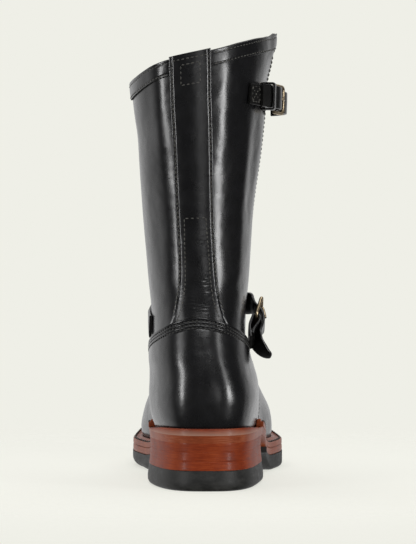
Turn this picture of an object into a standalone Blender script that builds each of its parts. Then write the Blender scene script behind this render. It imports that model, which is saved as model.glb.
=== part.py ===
"""Engineer boot for the right foot: a pull-on work boot with an ankle strap and a strap at the collar.

+Y points to the toe, +X to the outer side of the foot and +Z up. The origin is the middle of the
heel's base, on the floor. Every size is in millimetres, and becomes metres where a mesh is made.
"""

import functools
import math
from collections import namedtuple

import bmesh
import bpy
import numpy as np
from mathutils import Vector

MM = 0.001
GAP = 0.3

# Sole: heights at the back centre and under the ball, thicknesses, and where the arch runs
SEAT_Z = 31.3
BALL_Z = 10.8
MIDSOLE = 5.0
BREAST_Y = 38.0
SHANK_END_Y = 122.0
SPRING_START_Y = 158.0
SOLE_TIP_Y = 260.0
TOE_SPRING = 13.0
HALF_SOLE_START_Y = 84.0
HALF_SOLE_EDGE = 4.0
HALF_SOLE_ROUND = 3.0
INNER_BALL_ROUND = 3.2
HEEL_RUBBER = 13.5
HEEL_LIFTS = 3
INSOLE = 4.0

# Upper: leather thicknesses, and how far each overlay stands off the wall
WALL = 2.2
OVERLAY_GAP = 0.45
OVERLAY = 1.5
STAY = 1.2
BAND = 1.0
BAND_HEIGHT = 10.5
SEAM_SHARE = 0.17
OVERLAY_FOOT = 0.2

# Welt: flat strip and the ridge that stands against the upper
WELT = 3.8
RAND = 4.6
RIDGE_TOP_ROW = 0.6
RIDGE_WIDTH = 2.4

# Side slit with its gusset
SLIT_SHARE = 0.275
SLIT_FOOT_Z = 186.0
SLIT_FOOT_WIDTH = 2.0
SLIT_MOUTH_WIDTH = 8.0
GUSSET = 1.2

# Straps and buckles
STRAP_WIDTH = 15.0
STRAP = 1.9
WIRE_RADIUS = 1.2
BUCKLE_LENGTH = 16.0
KEEPER = 1.2

# Back strip: half width at heights, and the foot of the strip where it flares to the counter
StayRow = namedtuple("StayRow", "z half_width")
STAY_ROWS = [
    StayRow(104.0, 22.5),
    StayRow(114.0, 18.5),
    StayRow(128.0, 14.2),
    StayRow(148.0, 12.4),
    StayRow(175.0, 12.4),
    StayRow(215.0, 12.9),
    StayRow(300.0, 13.9),
]

# Top edge of the counter and the vamp: height at a share of the way from the back to the front centre
SeamRow = namedtuple("SeamRow", "share z")
SEAM_ROWS = [
    SeamRow(0.0, 113.0),
    SeamRow(0.06, 111.5),
    SeamRow(0.13, 106.5),
    SeamRow(0.22, 101.0),
    SeamRow(0.34, 93.0),
    SeamRow(0.5, 89.0),
    SeamRow(0.68, 101.0),
    SeamRow(0.86, 117.0),
    SeamRow(1.0, 123.0),
]

# How far the sole's edge stands outside the feather line, at the same shares
MarginRow = namedtuple("MarginRow", "share margin")
MARGIN_ROWS = [
    MarginRow(0.0, 6.4),
    MarginRow(0.16, 6.6),
    MarginRow(0.26, 8.2),
    MarginRow(0.4, 8.8),
    MarginRow(0.6, 12.0),
    MarginRow(0.75, 12.6),
    MarginRow(0.9, 11.0),
    MarginRow(1.0, 10.4),
]

# Edge of the heel, measured from the seat's edge, at heights
FlareRow = namedtuple("FlareRow", "z out")
FLARE_ROWS = [
    FlareRow(0.0, -0.6),
    FlareRow(2.5, 0.9),
    FlareRow(7.0, 0.5),
    FlareRow(13.5, -0.7),
    FlareRow(20.0, -1.4),
    FlareRow(28.0, -1.3),
    FlareRow(31.3, -0.9),
    FlareRow(36.3, -0.2),
    FlareRow(41.5, 0.0),
]

# Sections of the upper, each a closed ring from the heel's back to the foot's front. follow is how
# much the ring keeps the sole's arch, roll tilts it sideways (mm per mm), and the five widths
# are half widths before the ends round off, at the heel, the waist and the ball.
Section = namedtuple(
    "Section",
    "back_x back_y back_z front_x front_y front_z follow roll heel "
    "waist_in waist_out ball_in ball_out round_back round_front",
)
SECTIONS = [
    Section(-1.0, -33.0, 36.6, -9.0, 249.0, 26.5, 1.0, 0.0, 33.0, 24.0, 36.0, 36.5, 49.5, 3.2, 2.7),
    Section(-1.6, -36.0, 47.0, -9.5, 254.0, 37.0, 0.98, 0.0, 36.0, 26.5, 38.0, 40.5, 53.0, 3.2, 2.7),
    Section(-1.6, -37.0, 59.0, -9.5, 254.5, 50.0, 0.9, 0.0, 37.6, 27.5, 37.0, 38.5, 51.5, 3.2, 2.6),
    Section(-2.0, -36.6, 69.0, -9.5, 247.0, 61.0, 0.8, 0.0, 37.0, 28.0, 36.0, 34.0, 45.5, 3.1, 2.5),
    Section(-3.2, -35.6, 77.0, -9.0, 231.0, 69.5, 0.65, 0.0, 36.0, 29.0, 33.5, 31.5, 40.0, 3.0, 2.35),
    Section(-4.6, -34.4, 84.0, -8.5, 207.0, 76.0, 0.45, 0.0, 35.4, 30.0, 31.5, 30.0, 35.5, 2.9, 2.25),
    Section(-5.4, -33.0, 91.0, -8.0, 180.0, 84.5, 0.3, 0.0, 34.5, 30.8, 30.8, 29.5, 32.0, 2.8, 2.2),
    Section(-5.8, -31.5, 98.0, -7.5, 153.0, 96.0, 0.15, 0.0, 33.4, 31.4, 31.4, 29.0, 30.5, 2.7, 2.2),
    Section(-5.9, -29.8, 105.0, -7.0, 129.0, 111.0, 0.05, 0.0, 32.8, 31.8, 31.8, 29.6, 30.5, 2.6, 2.2),
    Section(-6.0, -28.0, 112.0, -6.5, 110.0, 130.0, 0.0, 0.0, 32.4, 32.2, 32.0, 30.2, 31.0, 2.5, 2.2),
    Section(-6.4, -25.8, 124.0, -6.0, 97.0, 151.0, 0.0, 0.0, 33.0, 33.8, 33.6, 33.0, 32.5, 2.4, 2.15),
    Section(-6.8, -24.2, 143.0, -5.5, 90.0, 172.0, 0.0, 0.03, 34.5, 35.4, 35.0, 34.5, 34.0, 2.3, 2.1),
    Section(-8.2, -25.0, 172.0, -3.9, 87.5, 198.0, 0.0, 0.07, 36.5, 37.6, 37.0, 36.5, 35.5, 2.2, 2.1),
    Section(-9.4, -27.4, 206.0, -0.9, 89.0, 226.0, 0.0, 0.13, 39.5, 40.2, 40.8, 39.5, 39.0, 2.2, 2.1),
    Section(-10.2, -29.8, 235.0, 3.5, 91.5, 248.0, 0.0, 0.2, 41.5, 43.0, 42.0, 42.0, 40.5, 2.2, 2.1),
    Section(-10.9, -31.2, 252.0, 5.5, 93.0, 262.0, 0.0, 0.26, 43.5, 45.2, 42.2, 44.5, 41.0, 2.2, 2.1),
    Section(-11.3, -32.3, 268.0, 6.8, 94.5, 275.0, 0.0, 0.31, 45.0, 47.0, 45.2, 46.5, 44.5, 2.2, 2.1),
    Section(-11.8, -33.5, 284.3, 6.5, 96.5, 287.0, 0.0, 0.35, 45.6, 47.8, 46.2, 47.0, 45.5, 2.2, 2.1),
]
LAST_ROW = len(SECTIONS) - 1
SECTION_TABLE = np.array(SECTIONS)
HEEL_AT, WAIST_AT, BALL_AT = 0.15, 0.45, 0.72
FINE_STEPS = 161
HALF_COLUMNS = 22
RINGS_BELOW_SEAM = [0.0, 0.6, 1.2, 1.8, 2.4, 3.0, 3.6, 4.2]
RINGS_ABOVE = [5.0, 5.8, 6.7, 7.6, 8.5, 9.2, 10.0, 10.6, 11.2, 12.0, 12.8, 13.6, 14.4, 15.2, 16.0, 17.0]
STEPS_TO_SEAM = 4


def smooth(t):
    """Zero to one with level ends."""
    t = np.clip(t, 0.0, 1.0)
    return t * t * (3.0 - 2.0 * t)


def midsole_bottom(y):
    """Height of the midsole's underside: level seat, arch, level ball and toe spring."""
    arch = smooth((SHANK_END_Y - y) / (SHANK_END_Y - BREAST_Y))
    spring = np.clip((y - SPRING_START_Y) / (SOLE_TIP_Y - SPRING_START_Y), 0.0, None) ** 2
    return BALL_Z + (SEAT_Z - BALL_Z) * arch + TOE_SPRING * spring


def midsole_top(y):
    """Height of the midsole's upper face."""
    return midsole_bottom(y) + MIDSOLE


def feather(y):
    """Height of the upper's lower edge, just clear of the midsole."""
    return midsole_top(y) + GAP


@functools.lru_cache(maxsize=None)
def section_at(v):
    """The section at row coordinate v, by a smooth curve through the table's rows."""
    v = min(max(v, 0.0), float(LAST_ROW))
    i = min(int(v), LAST_ROW - 1)
    t = v - i
    p1, p2 = SECTION_TABLE[i], SECTION_TABLE[i + 1]
    p0 = SECTION_TABLE[i - 1] if i > 0 else 2.0 * p1 - p2
    p3 = SECTION_TABLE[i + 2] if i + 2 <= LAST_ROW else 2.0 * p2 - p1
    values = 0.5 * (
        2.0 * p1 + (p2 - p0) * t + (2.0 * p0 - 5.0 * p1 + 4.0 * p2 - p3) * t**2
        + (3.0 * p1 - p0 - 3.0 * p2 + p3) * t**3
    )
    return Section(*values)


@functools.lru_cache(maxsize=None)
def half_ring(v, side):
    """Points of one side of the ring at v, back to front, with the length up to each."""
    k = section_at(v)
    s = (1.0 - np.cos(np.linspace(0.0, math.pi, FINE_STEPS))) / 2.0
    power = np.where(s < 0.5, k.round_back, k.round_front)
    cap = np.clip(1.0 - np.abs(2.0 * s - 1.0) ** power, 0.0, None) ** (1.0 / power)
    waist, ball = (k.waist_out, k.ball_out) if side > 0 else (k.waist_in, k.ball_in)
    width = k.heel + (waist - k.heel) * smooth((s - HEEL_AT) / (WAIST_AT - HEEL_AT))
    width = width + (ball - waist) * smooth((s - WAIST_AT) / (BALL_AT - WAIST_AT))
    chord_x = k.back_x + (k.front_x - k.back_x) * s
    x = chord_x + side * width * cap
    y = k.back_y + (k.front_y - k.back_y) * s
    arch = feather(y) - (feather(k.back_y) + (feather(k.front_y) - feather(k.back_y)) * s)
    tilt = k.roll * (x - chord_x) * (0.6 + 0.4 * cap**2)
    z = k.back_z + (k.front_z - k.back_z) * s + k.follow * arch + tilt
    points = np.stack([x, y, z], axis=1)
    steps = np.linalg.norm(np.diff(points, axis=0), axis=1)
    return points, np.concatenate([[0.0], np.cumsum(steps)])


def on_upper(v, u):
    """A point of the upper's outside. u runs 0 back centre, 0.25 outer side, 0.5 front, 0.75 inner side."""
    u = u % 1.0
    side, share = (1, 2.0 * u) if u <= 0.5 else (-1, 2.0 * (1.0 - u))
    points, lengths = half_ring(round(float(v), 5), side)
    at = share * lengths[-1]
    return np.array([np.interp(at, lengths, points[:, axis]) for axis in range(3)])


def tangents(v, u):
    """Directions along the ring and up the rows at a point of the upper."""
    du, dv = 0.004, 0.12
    along = on_upper(v, u + du) - on_upper(v, u - du)
    low, high = max(v - dv, 0.0), min(v + dv, float(LAST_ROW))
    up = on_upper(high, u) - on_upper(low, u)
    return along / np.linalg.norm(along), up / (high - low)


def off_upper(v, u, out):
    """A point that stands `out` off the upper's outside, or inside it where out is negative."""
    along, up = tangents(v, u)
    normal = np.cross(along, up)
    return on_upper(v, u) + normal / np.linalg.norm(normal) * out


def half_length(v, side=1):
    """Length of one side of the ring at v."""
    return half_ring(round(float(v), 5), side)[1][-1]


def row_at_height(u, z):
    """The row coordinate where the column u reaches height z."""
    low, high = 0.0, float(LAST_ROW)
    for _ in range(24):
        middle = (low + high) / 2.0
        if on_upper(middle, u)[2] < z:
            low = middle
        else:
            high = middle
    return (low + high) / 2.0


def share_of(u):
    """Share of the way from the back centre to the front centre, on either side."""
    return 2.0 * min(u % 1.0, 1.0 - u % 1.0)


def eased(rows, x):
    """A table's value at x with level steps at its rows."""
    rows = list(rows)
    xs, ys = [r[0] for r in rows], [r[1] for r in rows]
    fine = np.linspace(xs[0], xs[-1], 61)
    line = np.interp(fine, xs, ys)
    window = np.ones(7) / 7.0
    padded = np.concatenate([np.full(3, line[0]), line, np.full(3, line[-1])])
    return float(np.interp(x, fine, np.convolve(padded, window, mode="valid")))


def seam_row(u):
    """Row coordinate of the top edge of counter and vamp at column u."""
    return row_at_height(u, eased(SEAM_ROWS, share_of(u)))


def columns(start, end):
    """Columns of the upper's mesh between start and end, and the two ends themselves."""
    return [start, *(u for u in ALL_COLUMNS if start + 1e-4 < u < end - 1e-4), end]


def column_list():
    """Columns around the upper, closer together at the heel and the toe."""
    t = np.arange(HALF_COLUMNS) / HALF_COLUMNS
    half = 0.5 * (t - 0.055 * np.sin(2.0 * math.pi * t))
    other = 0.5 * (1.0 + t - 0.055 * np.sin(2.0 * math.pi * t))
    around = np.concatenate([half, other])
    return sorted({round(float(u), 6) for lap in (-1.0, 0.0, 1.0) for u in around + lap})


ALL_COLUMNS = column_list()


def finish(name, bm, colour, roughness, metallic=0.0, smooth_angle=35.0):
    """Makes a mesh object of a bmesh built in millimetres, in metres and with its own material."""
    bmesh.ops.remove_doubles(bm, verts=bm.verts, dist=1e-4)
    bmesh.ops.recalc_face_normals(bm, faces=bm.faces)
    bmesh.ops.scale(bm, vec=Vector((MM, MM, MM)), verts=bm.verts)
    mesh = bpy.data.meshes.new(name)
    bm.to_mesh(mesh)
    bm.free()
    mesh.shade_smooth()
    mesh.set_sharp_from_angle(angle=math.radians(smooth_angle))
    mesh.materials.append(material(name, colour, roughness, metallic))
    piece = bpy.data.objects.new(name, mesh)
    bpy.context.scene.collection.objects.link(piece)
    return piece


def material(name, colour, roughness, metallic):
    """A plain surface in the piece's colour."""
    made = bpy.data.materials.new(name)
    made.use_nodes = True
    shader = made.node_tree.nodes["Principled BSDF"]
    shader.inputs["Base Color"].default_value = (*colour, 1.0)
    shader.inputs["Roughness"].default_value = roughness
    shader.inputs["Metallic"].default_value = metallic
    return made


BLACK_LEATHER = ((0.014, 0.014, 0.015), 0.32)
STRAP_LEATHER = ((0.016, 0.015, 0.015), 0.4)
SOLE_LEATHER = ((0.28, 0.075, 0.028), 0.42)
RUBBER = ((0.02, 0.02, 0.019), 0.62)
INSOLE_LEATHER = ((0.42, 0.28, 0.17), 0.7)
BUCKLE_METAL = ((0.36, 0.28, 0.19), 0.35, 1.0)


def skin(bm, loops, closed_loops=True):
    """Joins successive loops of points with faces, and returns the vertices of each loop."""
    made = [[bm.verts.new(p) for p in loop] for loop in loops]
    for lower, upper in zip(made, made[1:]):
        count = len(lower)
        for j in range(count if closed_loops else count - 1):
            k = (j + 1) % count
            bm.faces.new((lower[j], lower[k], upper[k], upper[j]))
    return made


def ladder_cap(bm, loop, cut_off=False):
    """Closes a loop with strips from side to side. It starts at its back centre, or beside a straight cut."""
    step = 1 if cut_off else 0
    for j in range(len(loop) // 2):
        corners = [loop[j], loop[j + 1], loop[-j - 1 - step], loop[-j - step]]
        unique = list(dict.fromkeys(corners))
        if len(unique) > 2:
            bm.faces.new(unique)


def plate(name, loops, leather, cut_off=False):
    """A flat piece built from stacked loops of its edge, closed above and below."""
    bm = bmesh.new()
    made = skin(bm, loops)
    ladder_cap(bm, made[0], cut_off)
    ladder_cap(bm, made[-1], cut_off)
    return finish(name, bm, *leather)


def shell(name, outer, inner, colour, roughness, ring=False):
    """A wall between two grids of points. Where ring is true, the grid's columns close on themselves."""
    bm = bmesh.new()
    out = skin(bm, outer, closed_loops=ring)
    ins = skin(bm, inner, closed_loops=ring)
    for a, b in ((out[0], ins[0]), (out[-1], ins[-1])):
        for j in range(len(a) if ring else len(a) - 1):
            k = (j + 1) % len(a)
            bm.faces.new((a[j], a[k], b[k], b[j]))
    if not ring:
        for j in (0, -1):
            for i in range(len(out) - 1):
                bm.faces.new((out[i][j], out[i + 1][j], ins[i + 1][j], ins[i][j]))
    return finish(name, bm, colour, roughness)


def overlay(name, across, rows, where, gap, thickness, leather=BLACK_LEATHER):
    """A piece of leather that lies on the upper. where(a, b) gives row and column for shares a, b."""
    grid = [[where(a, b) for a in across] for b in rows]
    outer = [[off_upper(v, u, gap + thickness) for v, u in line] for line in grid]
    inner = [[off_upper(v, u, gap) for v, u in line] for line in grid]
    return shell(name, outer, inner, *leather)


def outline(u, out):
    """Plan point at distance `out` outside the feather line, and the height is left to the caller."""
    along, _ = tangents(0.0, u)
    flat = np.array([along[1], -along[0]])
    return on_upper(0.0, u)[:2] + flat / np.linalg.norm(flat) * out


def sole_edge(u, extra=0.0):
    """Plan point of the sole's edge at column u."""
    return outline(u, eased(MARGIN_ROWS, share_of(u)) + extra)


def column_at_y(y, side):
    """The column where the sole's edge crosses y, on the outer side (1) or the inner side (-1)."""
    low, high = 0.0, 0.5
    for _ in range(24):
        middle = (low + high) / 2.0
        if sole_edge(middle if side > 0 else -middle)[1] < y:
            low = middle
        else:
            high = middle
    return low if side > 0 else -low


def closed_edge(cut_y, toe_side, extra=0.0, count=13):
    """The sole's edge on one side of a straight cut at y, from its outer end to its inner end."""
    tip = 0.5 if toe_side else 0.0
    ways = []
    for side in (1, -1):
        start = column_at_y(cut_y, side)
        way = [sole_edge(start + (tip * side - start) * t, extra) for t in np.linspace(0.0, 1.0, count)]
        way[0] = np.array([way[0][0], cut_y])
        ways.append(way)
    return ways[0] + ways[1][-2::-1]


def upper():
    """The hollow wall from the feather line to the collar, with the slit cut in its outer side."""
    around = [u for u in ALL_COLUMNS if 0.0 <= u < 1.0]
    rows = RINGS_BELOW_SEAM + RINGS_ABOVE
    outer = [[off_upper(v, u, 0.0) for u in around] for v in rows]
    inner = [[off_upper(v, u, -WALL) for u in around] for v in rows]
    piece = shell("upper", outer, inner, *BLACK_LEATHER, ring=True)
    cut(piece, slit_cutter())
    return piece


def slit_cutter():
    """A wedge through the outer wall from the slit's foot to above the collar."""
    foot = row_at_height(SLIT_SHARE, SLIT_FOOT_Z)
    loops = []
    for v, width in ((foot, SLIT_FOOT_WIDTH), (LAST_ROW, SLIT_MOUTH_WIDTH)):
        along, up = tangents(v, SLIT_SHARE)
        normal = np.cross(along, up)
        normal /= np.linalg.norm(normal)
        centre = on_upper(v, SLIT_SHARE)
        if v == LAST_ROW:
            centre = centre + up / np.linalg.norm(up) * 6.0
        loops.append([
            centre + along * width / 2.0 * a + normal * 9.0 * b
            for a, b in ((1, 1), (-1, 1), (-1, -1), (1, -1))
        ])
    bm = bmesh.new()
    made = skin(bm, loops)
    bm.faces.new(made[0])
    bm.faces.new(made[-1])
    cutter = finish("slit_cutter", bm, (1.0, 0.0, 0.0), 1.0)
    cutter.hide_render = True
    cutter.display_type = "WIRE"
    return cutter


def cut(piece, cutter):
    """Takes the cutter's shape out of the piece."""
    change = piece.modifiers.new(cutter.name, "BOOLEAN")
    change.operation = "DIFFERENCE"
    change.solver = "EXACT"
    change.object = cutter


def overlay_rows():
    """Rows of the overlays: the upper's own rings as far as they stay below the seam, then shares above."""
    return [OVERLAY_FOOT, *RINGS_BELOW_SEAM[1:], *range(10, 10 * STEPS_TO_SEAM + 1, 10)]


def below_seam(u, row):
    """Row and column of a place between the sole and the top edge of counter or vamp."""
    last = RINGS_BELOW_SEAM[-1]
    if row <= last:
        return row, u
    return last + (seam_row(u) - last) * row / (10.0 * STEPS_TO_SEAM), u


def vamp():
    """The forepart's overlay, from one side seam over the toe to the other."""
    across = columns(SEAM_SHARE + 0.002, 1.0 - SEAM_SHARE - 0.002)
    overlay("vamp", across, overlay_rows(), below_seam, OVERLAY_GAP, OVERLAY)


def counter():
    """The heel's overlay, from one side seam round the back to the other."""
    across = columns(-SEAM_SHARE + 0.002, SEAM_SHARE - 0.002)
    overlay("counter", across, overlay_rows(), below_seam, OVERLAY_GAP, OVERLAY)


def back_stay():
    """The strip up the back centre, flared at its foot and a little proud of the collar."""
    foot = seam_row(0.0) + 0.1
    rows = [foot, *(v for v in RINGS_ABOVE if v > foot + 0.2)]

    def where(a, v):
        u = a * eased(STAY_ROWS, on_upper(v, 0.0)[2]) / (2.0 * half_length(v))
        return (seam_row(u) + 0.1 if v == foot else v), u

    overlay("back_stay", np.linspace(-1.0, 1.0, 9), rows, where, GAP, STAY)


def stay_edge(v):
    """Column of the back strip's edge at row v."""
    return (eased(STAY_ROWS, on_upper(v, 0.0)[2]) + 0.5) / (2.0 * half_length(v))


def collar_band(name, start, end):
    """A strip of leather round the collar's edge, between two columns."""
    def where(u, b):
        bottom = row_at_height(u, on_upper(LAST_ROW, u)[2] - BAND_HEIGHT)
        return bottom + (LAST_ROW - bottom) * b, u
    overlay(name, columns(start, end), (0.0, 0.5, 1.0), where, GAP, BAND)


def gusset():
    """Soft leather behind the slit."""
    half = (SLIT_MOUTH_WIDTH / 2.0 + 6.0) / (2.0 * half_length(LAST_ROW))
    foot = row_at_height(SLIT_SHARE, SLIT_FOOT_Z - 8.0)
    across = columns(SLIT_SHARE - half, SLIT_SHARE + half)
    rows = np.linspace(foot, LAST_ROW - 0.15, 12)
    overlay("gusset", across, rows, lambda u, v: (v, u), -WALL - 0.5 - GUSSET, GUSSET)


def pull_loop():
    """The loop of leather that hangs inside the back of the collar."""
    wall, layer, width = WALL + 0.5, 1.6, 9.5
    path = [(17.0, 0.0), (14.0, 0.0), (11.0, 0.2), (8.0, 2.6), (3.0, 6.0), (-8.0, 8.0), (-19.0, 7.6),
            (-24.5, 4.6), (-25.0, 2.0), (-21.0, 0.2), (-12.0, 0.0), (-2.0, 0.0)]
    top = LAST_ROW - 1.6
    per_row = tangents(top, 0.0)[1][2]
    loops = []
    for i, (rise, inward) in enumerate(path):
        before, after = path[max(i - 1, 0)], path[min(i + 1, len(path) - 1)]
        step = np.array([after[0] - before[0], after[1] - before[1]])
        step = step / np.linalg.norm(step)
        ring = []
        for across, side in ((-1, 1), (1, 1), (1, -1), (-1, -1)):
            shift = np.array([-step[1], step[0]]) * side * layer / 2.0
            v = top + (rise + shift[0]) / per_row
            u = across * width / (2.0 * half_length(top))
            ring.append(off_upper(v, u, -(wall + layer / 2.0 + inward + shift[1])))
        loops.append(ring)
    bm = bmesh.new()
    made = skin(bm, loops)
    bm.faces.new(made[0])
    bm.faces.new(made[-1])
    finish("pull_loop", bm, *STRAP_LEATHER)


def insole():
    """The board that the foot stands on, inside the upper."""
    loops = []
    around = [u for u in ALL_COLUMNS if 0.0 <= u < 1.0]
    for rise, inset in ((0.0, 0.6), (INSOLE, 0.6)):
        flat = [outline(u, -(WALL + inset)) for u in around]
        loops.append([(x, y, feather(y) + rise) for x, y in flat])
    plate("insole", loops, INSOLE_LEATHER)


def midsole():
    """The leather midsole, from heel to toe."""
    around = [u for u in ALL_COLUMNS if 0.0 <= u < 1.0]
    loops = []
    for share, extra in ((0.0, -0.9), (0.12, -0.3), (0.88, -0.3), (1.0, -0.6)):
        flat = [sole_edge(u, extra) for u in around]
        loops.append([(x, y, midsole_bottom(y) + MIDSOLE * share) for x, y in flat])
    plate("midsole", loops, SOLE_LEATHER)


def half_sole_bottom(y):
    """Underside of the rubber half sole: a thin rear edge, then level with the floor, then the toe spring."""
    top = midsole_bottom(y) - GAP
    run = smooth((y - HALF_SOLE_START_Y) / (SHANK_END_Y + 4.0 - HALF_SOLE_START_Y))
    return max(top - HALF_SOLE_EDGE - (BALL_Z - GAP - HALF_SOLE_EDGE) * run, 0.0)


def half_sole():
    """The rubber sole under the forepart. Its lower edge is rounded, most of all inside the ball."""
    loops = []
    top_edge = closed_edge(HALF_SOLE_START_Y, True, count=19)
    for rise, inset in ((0.0, 1.0), (0.33, 0.3), (1.0, 0.0), (None, 0.0)):
        flat = []
        for i, point in enumerate(top_edge):
            inner = smooth((-point[0] - 30.0) / 14.0) * smooth((point[1] - 110.0) / 30.0)
            radius = HALF_SOLE_ROUND * (1.0 + INNER_BALL_ROUND * inner)
            before, after = top_edge[i - 1], top_edge[(i + 1) % len(top_edge)]
            along = after - before
            inward = np.array([-along[1], along[0]]) / np.linalg.norm(along)
            x, y = point if i in (0, len(top_edge) - 1) else point + inward * inset * radius
            floor_z = half_sole_bottom(y)
            top = midsole_bottom(y) - GAP
            flat.append((x, y, top if rise is None else min(floor_z + rise * radius, top - 1.0)))
        loops.append(flat)
    plate("half_sole", loops, RUBBER, cut_off=True)


def heel_loop(z, cut_y):
    """The heel's edge at height z."""
    return [(x, y, z) for x, y in closed_edge(cut_y, False, eased(FLARE_ROWS, z))]


def heel_front(z):
    """The heel's breast leans back a little towards the floor."""
    return BREAST_Y - 3.0 * (1.0 - z / SEAT_Z)


def heel():
    """The stacked leather lifts and the rubber top piece that meets the floor."""
    edges = (0.0, 1.0, 3.0, 8.0, HEEL_RUBBER)
    plate("heel_rubber", [heel_loop(z, heel_front(z)) for z in edges], RUBBER, cut_off=True)
    step = (SEAT_Z - HEEL_RUBBER - GAP) / HEEL_LIFTS
    for i in range(HEEL_LIFTS):
        low = HEEL_RUBBER + GAP + step * i
        levels = np.linspace(low, low + step - GAP, 4)
        loops = [heel_loop(z, heel_front(z)) for z in levels]
        plate(f"heel_lift_{i + 1}", loops, SOLE_LEATHER, cut_off=True)


def strip_round(name, start, end, section, colour):
    """A strip on the midsole, between two columns. section(u) gives its corners, inner bottom first."""
    loops = [section(u) for u in columns(start, end)]
    bm = bmesh.new()
    made = skin(bm, loops)
    bm.faces.new(made[0])
    bm.faces.new(made[-1])
    finish(name, bm, *colour)


def against_upper(u, v):
    """A point just outside the overlays at row v."""
    return off_upper(v, u, OVERLAY_GAP + OVERLAY + 0.4)


def beside(point, u, out):
    """A point moved level outwards."""
    along, _ = tangents(0.0, u)
    flat = np.array([along[1], -along[0], 0.0])
    return point + flat / np.linalg.norm(flat) * out


def welt_section(u):
    """Flat strip with a ridge against the upper."""
    foot, middle, crest = (against_upper(u, v) for v in (0.0, RIDGE_TOP_ROW / 2.0, RIDGE_TOP_ROW))
    x, y = sole_edge(u, -0.3)
    edge = np.array([x, y, 0.0])
    floor_in, floor_out = midsole_top(foot[1]) + GAP, midsole_top(y) + GAP
    foot[2] = floor_in
    room = math.hypot(x - crest[0], y - crest[1])
    width = min(RIDGE_WIDTH, 0.5 * room)
    shoulder = beside(crest, u, width)
    valley = beside(crest, u, width + 0.15 * room)
    valley[2] = floor_in + WELT
    return [
        foot, middle, crest, shoulder, valley,
        edge + np.array([0.0, 0.0, floor_out + WELT]), edge + np.array([0.0, 0.0, floor_out]),
    ]


def rand_section(u):
    """Flat strip round the heel seat."""
    foot, crest = against_upper(u, 0.0), against_upper(u, RIDGE_TOP_ROW)
    x, y = sole_edge(u, 0.0)
    floor_z = midsole_top(y) + GAP
    foot[2] = floor_z
    crest[2] = floor_z + RAND
    return [foot, crest, np.array([x, y, floor_z + RAND]), np.array([x, y, floor_z])]


def welts():
    """The welt round the forepart and the rand round the heel."""
    start, end = column_at_y(BREAST_Y + 2.0, 1), 1.0 + column_at_y(BREAST_Y + 2.0, -1)
    strip_round("welt", start, end, welt_section, SOLE_LEATHER)
    strip_round("heel_rand", end - 1.0 + 0.0015, start - 0.0015, rand_section, SOLE_LEATHER)


Seat = namedtuple("Seat", "origin ahead out across row column")


def seat_at(u, z, rise):
    """A flat place on the upper: ahead runs along the ring to the front, tipped up by `rise` degrees."""
    v = row_at_height(u, z)
    along, up = tangents(v, u)
    out = np.cross(along, up)
    out /= np.linalg.norm(out)
    level = np.cross(out, along)
    turn = math.radians(rise)
    ahead = along * math.cos(turn) + level * math.sin(turn)
    return Seat(on_upper(v, u), ahead, out, np.cross(out, ahead), v, u)


def local(seat, ahead, out, across):
    """A point given by distances from a seat."""
    return seat.origin + seat.ahead * ahead + seat.out * out + seat.across * across


def leather_height(seat, ahead, across):
    """How far the upper's outside stands over the seat's plane at a place ahead of and across it."""
    v, u = seat.row, seat.column
    for _ in range(6):
        reached = on_upper(v, u) - seat.origin
        miss = [ahead - reached @ seat.ahead, across - reached @ seat.across]
        along, up = tangents(v, u)
        way = [[along @ seat.ahead, up @ seat.ahead], [along @ seat.across, up @ seat.across]]
        step, rows = np.linalg.solve(way, miss)
        u += step / (2.0 * half_length(v))
        v = min(v + rows, float(LAST_ROW))
    return (on_upper(v, u) - seat.origin) @ seat.out


def clear_height(seat, ahead, half_width):
    """Height of the highest leather under a strap of that half width."""
    return max(leather_height(seat, ahead, c) for c in (-half_width, 0.0, half_width))


def lying(seat, rows):
    """Centre line of a strap over the leather, from rows of distance ahead and extra clearance."""
    half = STRAP_WIDTH / 2.0
    return [(a, clear_height(seat, a, half) + GAP + STRAP / 2.0 + extra) for a, extra in rows]


def ribbon(name, frames, tip=(), leather=STRAP_LEATHER):
    """A strap through frames: each a centre, the way its face looks and the way across it. tip narrows the end."""
    loops = []
    shares = [1.0] * (len(frames) - len(tip)) + list(tip)
    for (centre, face, across), share in zip(frames, shares):
        loops.append([
            centre + across * STRAP_WIDTH / 2.0 * a * share + face * STRAP / 2.0 * b
            for a, b in ((-1.0, 0.6), (-0.94, 1.0), (0.94, 1.0), (1.0, 0.6),
                         (1.0, -0.6), (0.94, -1.0), (-0.94, -1.0), (-1.0, -0.6))
        ])
    bm = bmesh.new()
    made = skin(bm, loops)
    bm.faces.new(made[0])
    bm.faces.new(made[-1])
    finish(name, bm, *leather)


def frames_along(points, across):
    """Frames of a strap whose centre line is a list of points, with an across direction for each."""
    points = [np.array(p, float) for p in points]
    frames = []
    for i, centre in enumerate(points):
        ahead = points[min(i + 1, len(points) - 1)] - points[max(i - 1, 0)]
        side = np.array(across[i], float)
        side = side - ahead * (side @ ahead) / (ahead @ ahead)
        side /= np.linalg.norm(side)
        face = np.cross(ahead, side)
        frames.append((centre, face / np.linalg.norm(face), side))
    return frames


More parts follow.
